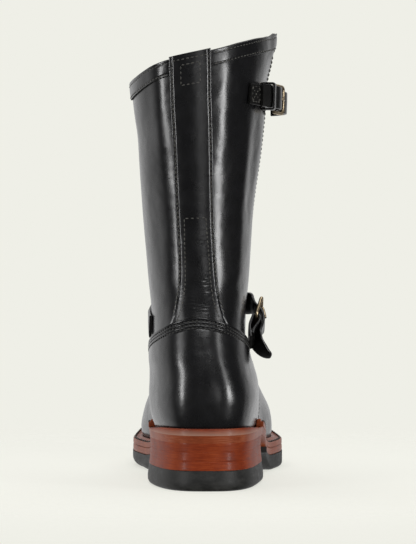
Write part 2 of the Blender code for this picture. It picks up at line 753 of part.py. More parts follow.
def buckle(name, seat, lift_rear, lift_front):
    """A rectangular wire frame over the strap, and the prong on it."""
    half = STRAP_WIDTH / 2.0 + 0.3 + WIRE_RADIUS
    corner = 2.6
    loop = []
    for a, b, start in ((1, 1, 0), (0, 1, 90), (0, 0, 180), (1, 0, 270)):
        middle = (
            BUCKLE_LENGTH - corner if a else corner,
            half - corner if b else corner - half,
        )
        for k in range(4):
            turn = math.radians(start + 30.0 * k)
            ahead = middle[0] + corner * math.cos(turn)
            across = middle[1] + corner * math.sin(turn)
            out = lift_rear + (lift_front - lift_rear) * ahead / BUCKLE_LENGTH
            loop.append(local(seat, ahead, out, across))
    tube(name, loop, WIRE_RADIUS, cyclic=True)
    path = [(6.0, lift_rear + 6.1), (10.0, lift_rear + 4.8), (BUCKLE_LENGTH + 1.2, lift_front + 2.7)]
    tube(name + "_prong", [local(seat, a, o, 0.0) for a, o in path], 1.0)


def tube(name, points, radius, cyclic=False):
    """A round bar along a line of points."""
    curve = bpy.data.curves.new(name, "CURVE")
    curve.dimensions = "3D"
    curve.bevel_depth = radius * MM
    curve.bevel_resolution = 2
    curve.use_fill_caps = not cyclic
    line = curve.splines.new("POLY")
    line.points.add(len(points) - 1)
    for point, place in zip(line.points, points):
        point.co = (*(np.asarray(place) * MM), 1.0)
    line.use_cyclic_u = cyclic
    colour, roughness, metallic = BUCKLE_METAL
    curve.materials.append(material(name, colour, roughness, metallic))
    piece = bpy.data.objects.new(name, curve)
    bpy.context.scene.collection.objects.link(piece)


def folded(name, seat, path, thickness, width, leather=STRAP_LEATHER):
    """A flat strap bent in one plane: path is its centre line as distances ahead of and out from the seat."""
    path = [np.array(p, float) for p in path]
    sides = {1: [], -1: []}
    for i, p in enumerate(path):
        ahead = path[min(i + 1, len(path) - 1)] - path[max(i - 1, 0)]
        ahead /= np.linalg.norm(ahead)
        for side in (1, -1):
            sides[side].append(p + np.array([-ahead[1], ahead[0]]) * side * thickness / 2.0)
    loop = sides[1] + sides[-1][::-1]
    bm = bmesh.new()
    skin(bm, [[local(seat, a, o, c) for a, o in loop] for c in (-width / 2.0, width / 2.0)])
    bm.verts.ensure_lookup_table()
    count, half = len(loop), len(path)
    for base in (0, count):
        for j in range(half - 1):
            quad = [base + j, base + j + 1, base + count - 2 - j, base + count - 1 - j]
            bm.faces.new([bm.verts[q] for q in quad])
    finish(name, bm, *leather)


def tab_path(lower, bar_out, back):
    """A tab that comes forward on the boot, wraps the buckle's rear bar and comes back on top."""
    wrap = WIRE_RADIUS + GAP + STRAP / 2.0
    turns = [math.radians(-90.0 + 30.0 * k) for k in range(7)]
    around = [(wrap * math.cos(t), bar_out + wrap * math.sin(t)) for t in turns]
    return [*lower, *around, *back]


def keeper(name, seat, at, high, depth=5.0):
    """A closed loop of leather round the tab and the strap's tail."""
    half = STRAP_WIDTH / 2.0 + 0.5
    low = max(clear_height(seat, a, half + KEEPER) for a in (at, at + depth)) + GAP + KEEPER
    inner = [(-half, low), (half, low), (half, high), (-half, high)]
    outer = [(c + math.copysign(KEEPER, c), o + (KEEPER if o == high else -KEEPER)) for c, o in inner]
    places = ((inner, at), (outer, at), (outer, at + depth), (inner, at + depth))
    bm = bmesh.new()
    loops = [[local(seat, a, o, c) for c, o in ring] for ring, a in places]
    skin(bm, loops + loops[:1])
    finish(name, bm, *STRAP_LEATHER)


StrapRow = namedtuple("StrapRow", "u z off")
ANKLE_ROWS = [
    StrapRow(0.842, 105.5, 1.4),
    StrapRow(0.80, 107.0, 1.4),
    StrapRow(0.74, 109.5, 1.4),
    StrapRow(0.68, 115.5, 1.5),
    StrapRow(0.62, 125.0, 1.8),
    StrapRow(0.56, 134.5, 2.2),
    StrapRow(0.50, 139.5, 2.4),
    StrapRow(0.44, 134.5, 2.2),
    StrapRow(0.38, 125.5, 1.8),
    StrapRow(0.33, 118.5, 2.0),
]


def on_boot_frames(rows, steps=3):
    """Frames of a strap that lies on the upper through rows of column, height and distance off."""
    table = np.array(rows)
    centres, across = [], []
    for t in np.linspace(0.0, len(rows) - 1.0, (len(rows) - 1) * steps + 1):
        u, z, off = (np.interp(t, range(len(rows)), table[:, k]) for k in range(3))
        v = row_at_height(u, z)
        centres.append(off_upper(v, u, off))
        across.append(tangents(v, u)[1])
    return frames_along(centres, across)


def ankle_strap():
    """The strap over the instep, its buckle on the outer side and the tail that hangs from it."""
    seat = seat_at(0.2, 107.5, 12.0)
    bar = 7.0
    lower = lying(seat, ((-17.0, 2.0), (-13.0, 2.0), (-9.0, 2.0), (-5.0, 2.0)))
    back = [(-3.0, bar + 2.3), (-6.5, bar + 1.3)]
    folded("ankle_tab", seat, tab_path(lower, bar, back), STRAP, STRAP_WIDTH - 1.0)
    buckle("ankle_buckle", seat, bar, bar + 2.2)
    over = on_boot_frames(ANKLE_ROWS)
    up = seat.across
    tail = [
        (local(seat, 25.0, 3.4, 0.0), up),
        (local(seat, 18.5, 4.6, 0.0), up),
        (local(seat, 12.5, 6.2, 0.0), up),
        (local(seat, 8.0, 9.0, 0.0), up),
        (local(seat, 4.0, 11.2, 0.0), up),
        (local(seat, -1.0, 12.0, 0.0), up),
        (local(seat, -5.0, 11.4, -0.4), up),
        (local(seat, -9.0, 10.0, -2.0), up - seat.out * 0.15),
        (local(seat, -12.5, 9.2, -5.0), up - seat.out * 0.35 + seat.ahead * -0.3),
        (local(seat, -15.3, 9.4, -9.0), up - seat.out * 0.5 + seat.ahead * -0.8),
        (local(seat, -17.2, 11.0, -13.0), up - seat.out * 0.5 + seat.ahead * -1.2),
        (local(seat, -18.6, 13.4, -16.4), up - seat.out * 0.5 + seat.ahead * -1.5),
        (local(seat, -19.4, 15.2, -18.4), up - seat.out * 0.5 + seat.ahead * -1.6),
    ]
    centres = [f[0] for f in over] + [p for p, _ in tail]
    across = [f[2] for f in over] + [a for _, a in tail]
    ribbon("ankle_strap", frames_along(centres, across), tip=(0.94, 0.6))


def collar_strap():
    """The short strap across the slit, with its buckle on the rear side of it."""
    seat = seat_at(0.225, 258.0, -7.0)
    bar = 6.6
    first, second, third = 2.2, 4.4, 6.6
    lower = lying(seat, ((-31.0, 0.0), (-26.0, 0.3), (-21.0, 1.2), (-15.0, first), (-9.0, first)))
    back = [(-4.0, bar + 2.1), *lying(seat, ((-9.0, second), (-13.5, second)))]
    folded("collar_tab", seat, tab_path([*lower, (-4.0, 3.6)], bar, back), STRAP, STRAP_WIDTH - 1.0)
    buckle("collar_buckle", seat, bar, bar + 1.4)
    top = lying(seat, ((-10.5, third + 0.5),))[0][1] + STRAP / 2.0 + GAP
    keeper("collar_keeper", seat, -15.5, top)
    tail = lying(seat, ((-22.0, 3.6), (-18.0, 5.2), (-14.5, third), (-10.0, third + 0.3)))
    ahead = [(-6.5, bar + 3.8), (-3.0, bar + 4.8), (1.0, bar + 4.9), (4.5, bar + 3.9), (8.5, 8.2), (13.0, 5.2),
             (18.0, 4.8), (23.0, 6.6), (29.0, 8.6), (35.0, 7.8), (41.0, 3.0), (46.0, -3.4)]
    path = [local(seat, a, o, 0.0) for a, o in tail + ahead]
    ribbon("collar_strap", frames_along(path, [seat.across] * len(path)))


def build():
    """Clears the scene and makes every piece of the boot."""
    for old in list(bpy.data.objects):
        bpy.data.objects.remove(old, do_unlink=True)
    upper()
    insole()
    midsole()
    half_sole()
    heel()
    welts()
    vamp()
    counter()
    back_stay()
    top = float(LAST_ROW)
    slit_half = (SLIT_MOUTH_WIDTH / 2.0) / (2.0 * half_length(top))
    collar_band("collar_band_rear", stay_edge(top), SLIT_SHARE - slit_half)
    collar_band("collar_band_front", SLIT_SHARE + slit_half, 1.0 - stay_edge(top))
    gusset()
    pull_loop()
    ankle_strap()
    collar_strap()


build()
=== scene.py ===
"""Engineer boot for the right foot: finished leather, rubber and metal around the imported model.

+Y points to the toe, +X to the outer side of the foot and +Z up. Sizes are in millimetres, in the
boot's own frame, and become metres where a mesh is made.
"""

import logging
import math
from collections.abc import Callable, Sequence
from dataclasses import dataclass, field
from enum import Enum

import bmesh
import bpy
import numpy as np
from mathutils import Matrix, Vector

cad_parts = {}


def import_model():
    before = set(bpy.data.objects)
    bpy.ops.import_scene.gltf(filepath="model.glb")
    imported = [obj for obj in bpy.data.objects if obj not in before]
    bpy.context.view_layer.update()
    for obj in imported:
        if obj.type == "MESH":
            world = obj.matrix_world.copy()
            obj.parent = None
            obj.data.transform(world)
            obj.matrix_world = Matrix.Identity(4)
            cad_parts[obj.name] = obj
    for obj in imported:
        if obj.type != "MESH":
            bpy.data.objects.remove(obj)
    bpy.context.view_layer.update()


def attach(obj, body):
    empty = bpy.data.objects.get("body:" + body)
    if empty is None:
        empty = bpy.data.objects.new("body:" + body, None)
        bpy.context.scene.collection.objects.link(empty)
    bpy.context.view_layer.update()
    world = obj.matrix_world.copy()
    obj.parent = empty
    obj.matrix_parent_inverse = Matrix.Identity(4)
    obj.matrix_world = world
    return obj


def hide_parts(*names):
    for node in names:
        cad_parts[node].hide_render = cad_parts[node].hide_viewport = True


LOG = logging.getLogger("boot")
MM = 0.001
BODY = "root"

Array = np.ndarray
Place = Callable[[Array, Array], tuple[Array, Array]]
Rise = Callable[[Array, Array], Array]
Line = tuple[Array, Array, float]
Pairs = Sequence[tuple[float, float]]
Triple = tuple[float, float, float]
Mesh = bmesh.types.BMesh
Piece = bpy.types.Object
Material = bpy.types.Material
Socket = bpy.types.NodeSocket


class Side(Enum):
    """The two sides of the foot, as the sign of X."""

    OUTER = 1
    INNER = -1


class Relief(Enum):
    """Whether a place is read from the last's plain form or from the leather with its creases."""

    PLAIN = "plain"
    CREASED = "creased"


@dataclass(frozen=True)
class Section:
    """One ring of the last, from the heel's back to the foot's front, with five half widths."""

    back_x: float
    back_y: float
    back_z: float
    front_x: float
    front_y: float
    front_z: float
    follow: float
    roll: float
    heel: float
    waist_in: float
    waist_out: float
    ball_in: float
    ball_out: float
    round_back: float
    round_front: float


SECTIONS = (
    Section(-1.0, -33.0, 36.6, -9.0, 249.0, 26.5, 1.0, 0.0, 33.0, 24.0, 36.0, 36.5, 49.5, 3.2, 2.7),
    Section(-1.6, -36.0, 47.0, -9.5, 254.0, 37.0, 0.98, 0.0, 36.0, 26.5, 38.0, 40.5, 53.0, 3.2, 2.7),
    Section(-1.6, -37.0, 59.0, -9.5, 254.5, 50.0, 0.9, 0.0, 37.6, 27.5, 37.0, 38.5, 51.5, 3.2, 2.6),
    Section(-2.0, -36.6, 69.0, -9.5, 247.0, 61.0, 0.8, 0.0, 37.0, 28.0, 36.0, 34.0, 45.5, 3.1, 2.5),
    Section(-3.2, -35.6, 77.0, -9.0, 231.0, 69.5, 0.65, 0.0, 36.0, 29.0, 33.5, 31.5, 40.0, 3.0, 2.35),
    Section(-4.6, -34.4, 84.0, -8.5, 207.0, 76.0, 0.45, 0.0, 35.4, 30.0, 31.5, 30.0, 35.5, 2.9, 2.25),
    Section(-5.4, -33.0, 91.0, -8.0, 180.0, 84.5, 0.3, 0.0, 34.5, 30.8, 30.8, 29.5, 32.0, 2.8, 2.2),
    Section(-5.8, -31.5, 98.0, -7.5, 153.0, 96.0, 0.15, 0.0, 33.4, 31.4, 31.4, 29.0, 30.5, 2.7, 2.2),
    Section(-5.9, -29.8, 105.0, -7.0, 129.0, 111.0, 0.05, 0.0, 32.8, 31.8, 31.8, 29.6, 30.5, 2.6, 2.2),
    Section(-6.0, -28.0, 112.0, -6.5, 110.0, 130.0, 0.0, 0.0, 32.4, 32.2, 32.0, 30.2, 31.0, 2.5, 2.2),
    Section(-6.4, -25.8, 124.0, -6.0, 97.0, 151.0, 0.0, 0.0, 33.0, 33.8, 33.6, 33.0, 32.5, 2.4, 2.15),
    Section(-6.8, -24.2, 143.0, -5.5, 90.0, 172.0, 0.0, 0.03, 34.5, 35.4, 35.0, 34.5, 34.0, 2.3, 2.1),
    Section(-8.2, -25.0, 172.0, -3.9, 87.5, 198.0, 0.0, 0.07, 36.5, 37.6, 37.0, 36.5, 35.5, 2.2, 2.1),
    Section(-9.4, -27.4, 206.0, -0.9, 89.0, 226.0, 0.0, 0.13, 39.5, 40.2, 40.8, 39.5, 39.0, 2.2, 2.1),
    Section(-10.2, -29.8, 235.0, 3.5, 91.5, 248.0, 0.0, 0.2, 41.5, 43.0, 42.0, 42.0, 40.5, 2.2, 2.1),
    Section(-10.9, -31.2, 252.0, 5.5, 93.0, 262.0, 0.0, 0.26, 43.5, 45.2, 42.2, 44.5, 41.0, 2.2, 2.1),
    Section(-11.3, -32.3, 268.0, 6.8, 94.5, 275.0, 0.0, 0.31, 45.0, 47.0, 45.2, 46.5, 44.5, 2.2, 2.1),
    Section(-11.8, -33.5, 284.3, 6.5, 96.5, 287.0, 0.0, 0.35, 45.6, 47.8, 46.2, 47.0, 45.5, 2.2, 2.1),
)
TOP_ROW = float(len(SECTIONS) - 1)
SEAM_ROWS = (
    (0.0, 113.0), (0.06, 111.5), (0.13, 106.5), (0.22, 101.0), (0.34, 93.0),
    (0.5, 89.0), (0.68, 101.0), (0.86, 117.0), (1.0, 123.0),
)
MARGIN_ROWS = (
    (0.0, 6.4), (0.16, 6.6), (0.26, 8.2), (0.4, 8.8), (0.6, 12.0), (0.75, 12.6), (0.9, 11.0), (1.0, 10.4),
)
COLLAR_TRIM = (
    (0.0, 0.0), (0.1, 0.0), (0.16, -1.0), (0.2, -1.9), (0.235, -1.7), (0.262, 0.2), (0.266, 0.6),
    (0.284, 0.0), (0.74, 0.0), (0.8, -2.0), (0.87, -2.0), (0.93, -0.6), (0.955, 0.0), (1.0, 0.0),
)
STAY_ROWS = (
    (104.0, 22.5), (114.0, 18.5), (128.0, 14.2), (148.0, 12.4), (175.0, 12.4), (215.0, 12.9), (300.0, 13.9),
)


def smooth(t: Array) -> Array:
    """Zero to one with level ends."""
    t = np.clip(t, 0.0, 1.0)
    return t * t * (3.0 - 2.0 * t)


def hump(distance: Array, width: float) -> Array:
    """A soft ridge of height one, `width` to each side of where distance is zero."""
    return np.exp(-((distance / width) ** 2))


def share_of(u: Array) -> Array:
    """Share of the way from the back centre to the front centre, on either side."""
    u = np.asarray(u, float) % 1.0
    return 2.0 * np.minimum(u, 1.0 - u)


def unit(vectors: Array) -> Array:
    """Vectors brought to length one."""
    return vectors / np.linalg.norm(vectors, axis=-1, keepdims=True)


def lengths_along(points: Array) -> Array:
    """How far along a line of places each of them is."""
    steps = np.linalg.norm(np.diff(points, axis=0), axis=1)
    return np.concatenate([[0.0], np.cumsum(steps)])


def along_line(rows: Array, lengths: Array, at: Array) -> Array:
    """A line's rows of values at lengths along it."""
    return np.stack([np.interp(at, lengths, rows[:, k]) for k in range(3)], axis=-1)


def spline(before: Array, start: Array, end: Array, after: Array, t: float) -> Array:
    """The smooth curve from start to end at share t, with the points before and after them."""
    return 0.5 * (2.0 * start + (end - before) * t + (2.0 * before - 5.0 * start + 4.0 * end - after) * t**2
                  + (3.0 * start - before - 3.0 * end + after) * t**3)


def eased(rows: Pairs, x: Array) -> Array:
    """A table's second column at x, with its corners rounded off.

    Args:
        rows: pairs of place and value, in rising order of place.
        x: where to read it.

    Returns:
        The values at x.
    """
    places, values = np.array(rows).T
    fine = np.linspace(places[0], places[-1], 61)
    line = np.interp(fine, places, values)
    padded = np.concatenate([np.full(3, line[0]), line, np.full(3, line[-1])])
    return np.interp(x, fine, np.convolve(padded, np.ones(7) / 7.0, mode="valid"))


@dataclass(frozen=True)
class SoleProfile:
    """Heights of the sole along the foot: seat, arch, ball and toe spring."""

    seat_z: float = 31.3
    ball_z: float = 10.8
    midsole: float = 5.0
    breast_y: float = 38.0
    shank_end_y: float = 122.0
    spring_start_y: float = 158.0
    tip_y: float = 260.0
    toe_spring: float = 13.0
    gap: float = 0.3

    def midsole_bottom(self, y: Array) -> Array:
        """Height of the midsole's underside.

        Args:
            y: distances ahead of the heel's middle.

        Returns:
            The heights.
        """
        arch = smooth((self.shank_end_y - y) / (self.shank_end_y - self.breast_y))
        spring = np.clip((y - self.spring_start_y) / (self.tip_y - self.spring_start_y), 0.0, None) ** 2
        return self.ball_z + (self.seat_z - self.ball_z) * arch + self.toe_spring * spring

    def midsole_top(self, y: Array) -> Array:
        """Height of the midsole's upper face."""
        return self.midsole_bottom(y) + self.midsole

    def feather(self, y: Array) -> Array:
        """Height of the upper's lower edge, just clear of the midsole."""
        return self.midsole_top(y) + self.gap


@dataclass(frozen=True)
class Crease:
    """A soft trough in the leather, or a ridge where depth is below zero.

    u and z say where its middle is, turn is its slope from the ring's direction in degrees, and the
    half length, half width and depth are its size.
    """

    u: float
    z: float
    turn: float
    half_length: float
    half_width: float
    depth: float

    def height(self, u: Array, z: Array, ring_length: Array) -> Array:
        """How far the crease lifts the leather at places of column u and height z.

        Args:
            u: columns.
            z: heights.
            ring_length: length of the ring at each place.

        Returns:
            The lifts.
        """
        around = ((u - self.u + 0.5) % 1.0 - 0.5) * ring_length
        up = z - self.z
        turn = math.radians(self.turn)
        along = around * math.cos(turn) + up * math.sin(turn)
        across = up * math.cos(turn) - around * math.sin(turn)
        fade = np.exp(-((along / self.half_length) ** 4))
        return -self.depth * fade * hump(across, self.half_width)


CREASES = (
    Crease(0.937, 254.0, 88.0, 36.0, 8.0, -0.9),
    Crease(0.905, 225.0, 90.0, 60.0, 9.0, 0.5),
    Crease(0.07, 252.0, 88.0, 30.0, 8.0, -0.9),
    Crease(0.125, 185.0, 84.0, 60.0, 8.0, -0.8),
    Crease(0.18, 216.0, 86.0, 40.0, 9.0, 0.8),
    Crease(0.90, 170.0, 94.0, 30.0, 8.0, 0.4),
    Crease(0.10, 132.0, 10.0, 16.0, 4.5, 0.45),
    Crease(0.91, 130.0, -8.0, 15.0, 4.5, 0.45),
    Crease(0.40, 150.0, -14.0, 26.0, 5.0, 1.1),
    Crease(0.41, 166.0, -10.0, 22.0, 6.0, 0.8),
    Crease(0.60, 150.0, 14.0, 26.0, 5.0, 1.1),
    Crease(0.59, 167.0, 10.0, 22.0, 6.0, 0.8),
    Crease(0.50, 158.0, 0.0, 20.0, 5.0, 0.9),
    Crease(0.45, 78.0, 62.0, 26.0, 4.0, 0.45),
    Crease(0.55, 77.0, -60.0, 26.0, 4.0, 0.45),
)


class BootForm:
    """The upper's outside over rows (0 the feather line, 17 the collar) and columns.

    Column 0 is the back centre, 0.25 the outer side, 0.5 the front and 0.75 the inner side.
    """

    ROW_STEPS = 20
    COLUMN_STEPS = 720
    FINE_STEPS = 241
    HEEL_AT, WAIST_AT, BALL_AT = 0.15, 0.45, 0.72
    FLAP_START, FLAP_RISE = 0.215, 0.05
    FLAP_END, FLAP_FALL = 0.266, 0.018
    FLAP_FOOT_Z, FLAP_HEIGHT, FLAP_FLARE = 276.0, 24.0, 1.6
    PLAN_STEP = 0.004
    HALVINGS = 24

    def __init__(self, sole: SoleProfile, creases: Sequence[Crease]) -> None:
        """Works out the surface on a fine grid.

        Args:
            sole: heights of the sole that the lower rings follow.
            creases: troughs and ridges of the leather.
        """
        self.sole = sole
        self.table = np.array([list(vars(s).values()) for s in SECTIONS])
        rows = np.arange(int(TOP_ROW) * self.ROW_STEPS + 1) / self.ROW_STEPS
        rings = [self._ring(v) for v in rows]
        plain = np.stack([ring for ring, _ in rings])
        self.lengths = np.array([length for _, length in rings])
        columns = np.arange(self.COLUMN_STEPS + 1) / self.COLUMN_STEPS
        lift = sum(c.height(columns[None, :], plain[..., 2], self.lengths[:, None]) for c in creases)
        flap = smooth((columns - self.FLAP_START) / self.FLAP_RISE)
        flap = flap * (1.0 - smooth((columns - self.FLAP_END) / self.FLAP_FALL))
        rise = smooth((plain[..., 2] - self.FLAP_FOOT_Z) / self.FLAP_HEIGHT)
        lift = lift + self.FLAP_FLARE * flap[None, :] * rise
        creased = plain + self._normals(plain) * lift[..., None]
        self.points = {Relief.PLAIN: plain, Relief.CREASED: creased}
        self.normals = {key: self._normals(grid) for key, grid in self.points.items()}
        self.ups = np.gradient(plain, 1.0 / self.ROW_STEPS, axis=0)

    def _section(self, v: float) -> Section:
        """The section at row coordinate v, on a smooth curve through the table.

        Args:
            v: the row.

        Returns:
            The section.
        """
        i = min(int(v), len(SECTIONS) - 2)
        t = v - i
        p1, p2 = self.table[i], self.table[i + 1]
        p0 = self.table[i - 1] if i > 0 else 2.0 * p1 - p2
        p3 = self.table[i + 2] if i + 2 < len(SECTIONS) else 2.0 * p2 - p1
        return Section(*spline(p0, p1, p2, p3, t))

    def _ring(self, v: float) -> tuple[Array, float]:
        """Points of the whole ring at v at even steps of each side, and the ring's length.

        Args:
            v: the row.

        Returns:
            The points and the length.
        """
        sides = {side: self._half_ring(self._section(v), side) for side in Side}
        shares = np.linspace(0.0, 1.0, self.COLUMN_STEPS // 2 + 1)
        halves, total = {}, 0.0
        for side, points in sides.items():
            lengths = lengths_along(points)
            halves[side] = along_line(points, lengths, shares * lengths[-1])
            total += lengths[-1]
        return np.concatenate([halves[Side.OUTER], halves[Side.INNER][-2::-1]]), total

    def _half_ring(self, k: Section, side: Side) -> Array:
        """Points of one side of a section, from the back to the front.

        Args:
            k: the section.
            side: which side.

        Returns:
            The points.
        """
        s = (1.0 - np.cos(np.linspace(0.0, math.pi, self.FINE_STEPS))) / 2.0
        power = np.where(s < 0.5, k.round_back, k.round_front)
        cap = np.clip(1.0 - np.abs(2.0 * s - 1.0) ** power, 0.0, None) ** (1.0 / power)
        outer = side is Side.OUTER
        waist, ball = (k.waist_out, k.ball_out) if outer else (k.waist_in, k.ball_in)
        width = k.heel + (waist - k.heel) * smooth((s - self.HEEL_AT) / (self.WAIST_AT - self.HEEL_AT))
        width = width + (ball - waist) * smooth((s - self.WAIST_AT) / (self.BALL_AT - self.WAIST_AT))
        chord_x = k.back_x + (k.front_x - k.back_x) * s
        x = chord_x + side.value * width * cap
        y = k.back_y + (k.front_y - k.back_y) * s
        back, front = self.sole.feather(k.back_y), self.sole.feather(k.front_y)
        arch = self.sole.feather(y) - (back + (front - back) * s)
        tilt = k.roll * (x - chord_x) * (0.6 + 0.4 * cap**2)
        z = k.back_z + (k.front_z - k.back_z) * s + k.follow * arch + tilt
        return np.stack([x, y, z], axis=1)

    @staticmethod
    def _normals(grid: Array) -> Array:
        """Outward directions on a grid of points whose last column repeats its first.

        Args:
            grid: the points.

        Returns:
            A direction for each point.
        """
        around = np.empty_like(grid)
        around[:, 1:-1] = grid[:, 2:] - grid[:, :-2]
        around[:, 0] = around[:, -1] = grid[:, 1] - grid[:, -2]
        normals = np.cross(around, np.gradient(grid, axis=0))
        return unit(normals)

    def _read(self, grid: Array, v: Array, u: Array) -> Array:
        """A grid's values at rows v and columns u.

        Args:
            grid: the values.
            v: rows.
            u: columns.

        Returns:
            The values.
        """
        row = np.clip(np.asarray(v, float), 0.0, TOP_ROW) * self.ROW_STEPS
        column = (np.asarray(u, float) % 1.0) * self.COLUMN_STEPS
        i = np.minimum(row.astype(int), grid.shape[0] - 2)
        j = np.minimum(column.astype(int), self.COLUMN_STEPS - 1)
        s, t = (row - i)[..., None], (column - j)[..., None]
        low = grid[i, j] * (1.0 - t) + grid[i, j + 1] * t
        high = grid[i + 1, j] * (1.0 - t) + grid[i + 1, j + 1] * t
        return low * (1.0 - s) + high * s

    def at(self, v: Array, u: Array, out: Array = 0.0, relief: Relief = Relief.CREASED) -> Array:
        """Places that stand `out` off the leather. Rows past the collar go on straight up.

        Args:
            v: rows.
            u: columns.
            out: distance off the leather.
            relief: which of its forms is read.

        Returns:
            The places.
        """
        v, u = np.broadcast_arrays(np.asarray(v, float), np.asarray(u, float))
        out = np.broadcast_to(np.asarray(out, float), v.shape)[..., None]
        beyond = np.clip(v - TOP_ROW, 0.0, None)[..., None]
        place = self._read(self.points[relief], v, u) + self._read(self.ups, v, u) * beyond
        return place + self._read(self.normals[relief], v, u) * out

    def out_from(self, v: Array, u: Array) -> Array:
        """Outward directions of the plain form."""
        return self._read(self.normals[Relief.PLAIN], v, u)

    def frame_at(self, v: float, u: float) -> tuple[Array, Array, Array]:
        """Directions along the ring, outwards and up the rows at one place of the plain form.

        Args:
            v: its row.
            u: its column.

        Returns:
            The three directions. The last one is as long as a row.
        """
        out = unit(self.out_from(v, u))
        up = self._read(self.ups, v, u)
        return unit(np.cross(up, out)), out, up

    def ring_length(self, v: Array) -> Array:
        """Length of the ring at row v."""
        return np.interp(v, np.arange(len(self.lengths)) / self.ROW_STEPS, self.lengths)

    def row_at(self, u: Array, z: Array) -> Array:
        """Rows where the columns u reach the heights z.

        Args:
            u: columns.
            z: heights.

        Returns:
            The rows.
        """
        u, z = np.broadcast_arrays(np.asarray(u, float), np.asarray(z, float))
        low, high = np.zeros(u.shape), np.full(u.shape, TOP_ROW)
        for _ in range(self.HALVINGS):
            middle = (low + high) / 2.0
            under = self._read(self.points[Relief.PLAIN], middle, u)[..., 2] < z
            low, high = np.where(under, middle, low), np.where(under, high, middle)
        return (low + high) / 2.0

    def collar_trim(self, u: Array) -> Array:
        """How far the collar's edge stands over the plain one at columns u, in millimetres."""
        places, lifts = np.array(COLLAR_TRIM).T
        return np.interp(np.asarray(u, float) % 1.0, places, lifts)

    def collar_row(self, u: Array) -> Array:
        """Rows of the collar's top edge at columns u."""
        return TOP_ROW + self.collar_trim(u) / (SECTIONS[-1].back_z - SECTIONS[-2].back_z)

    def seam_row(self, u: Array) -> Array:
        """Rows of the top edge of counter and vamp at columns u."""
        return self.row_at(u, eased(SEAM_ROWS, share_of(u)))

    def outline(self, u: Array, out: Array) -> Array:
        """Plan points at distance `out` outside the feather line.

        Args:
            u: columns.
            out: the distance.

        Returns:
            The points.
        """
        ring, foot = self.points[Relief.PLAIN], np.zeros(np.shape(u))
        line, ahead, behind = (
            self._read(ring, foot, u + d)[..., :2] for d in (0.0, self.PLAN_STEP, -self.PLAN_STEP))
        along = ahead - behind
        flat = unit(np.stack([along[..., 1], -along[..., 0]], axis=-1))
        return line + flat * np.asarray(out, float)[..., None]

    def sole_edge(self, u: Array, extra: Array = 0.0) -> Array:
        """Plan points of the sole's edge at columns u."""
        return self.outline(u, eased(MARGIN_ROWS, share_of(u)) + extra)

    def column_at_y(self, y: float, side: Side) -> float:
        """The column where the sole's edge crosses y on one side of the foot.

        Args:
            y: the distance ahead.
            side: which side.

        Returns:
            The column.
        """
        low, high = 0.0, 0.5
        for _ in range(self.HALVINGS):
            middle = (low + high) / 2.0
            if self.sole_edge(np.array(middle * side.value))[1] < y:
                low = middle
            else:
                high = middle
        return low * side.value


class Nodes:
    """A node tree whose nodes are added and filled by the names of their sockets."""

    def __init__(self, tree: bpy.types.NodeTree) -> None:
        """Takes the tree that the nodes go into."""
        self.tree = tree

    def link(self, source: Socket, target: Socket) -> None:
        """Joins two sockets."""
        self.tree.links.new(source, target)

    def fill(self, node: bpy.types.Node, **inputs: Socket | float | tuple) -> None:
        """Fills a node's inputs.

        Args:
            node: the node.
            inputs: a socket or a plain value for each name, which has _ for a space.
        """
        for name, value in inputs.items():
            target = node.inputs[name.replace("_", " ")]
            if isinstance(value, Socket):
                self.link(value, target)
            else:
                target.default_value = value

    def add(self, kind: str, **inputs: Socket | float | tuple) -> bpy.types.Node:
        """Adds a node and fills its inputs.

        Args:
            kind: its type, without the first word ShaderNode.
            inputs: what its inputs take, as for `fill`.

        Returns:
            The node.
        """
        node = self.tree.nodes.new("ShaderNode" + kind)
        self.fill(node, **inputs)
        return node

    def mixed_shaders(self, share: Socket, first: Socket, second: Socket) -> Socket:
        """Two shaders mixed.

        Args:
            share: how much of the second one there is.
            first: the shader at zero.
            second: the shader at one.

        Returns:
            The mixed shader.
        """
        node = self.add("MixShader", Fac=share)
        self.link(first, node.inputs[1])
        self.link(second, node.inputs[2])
        return node.outputs["Shader"]


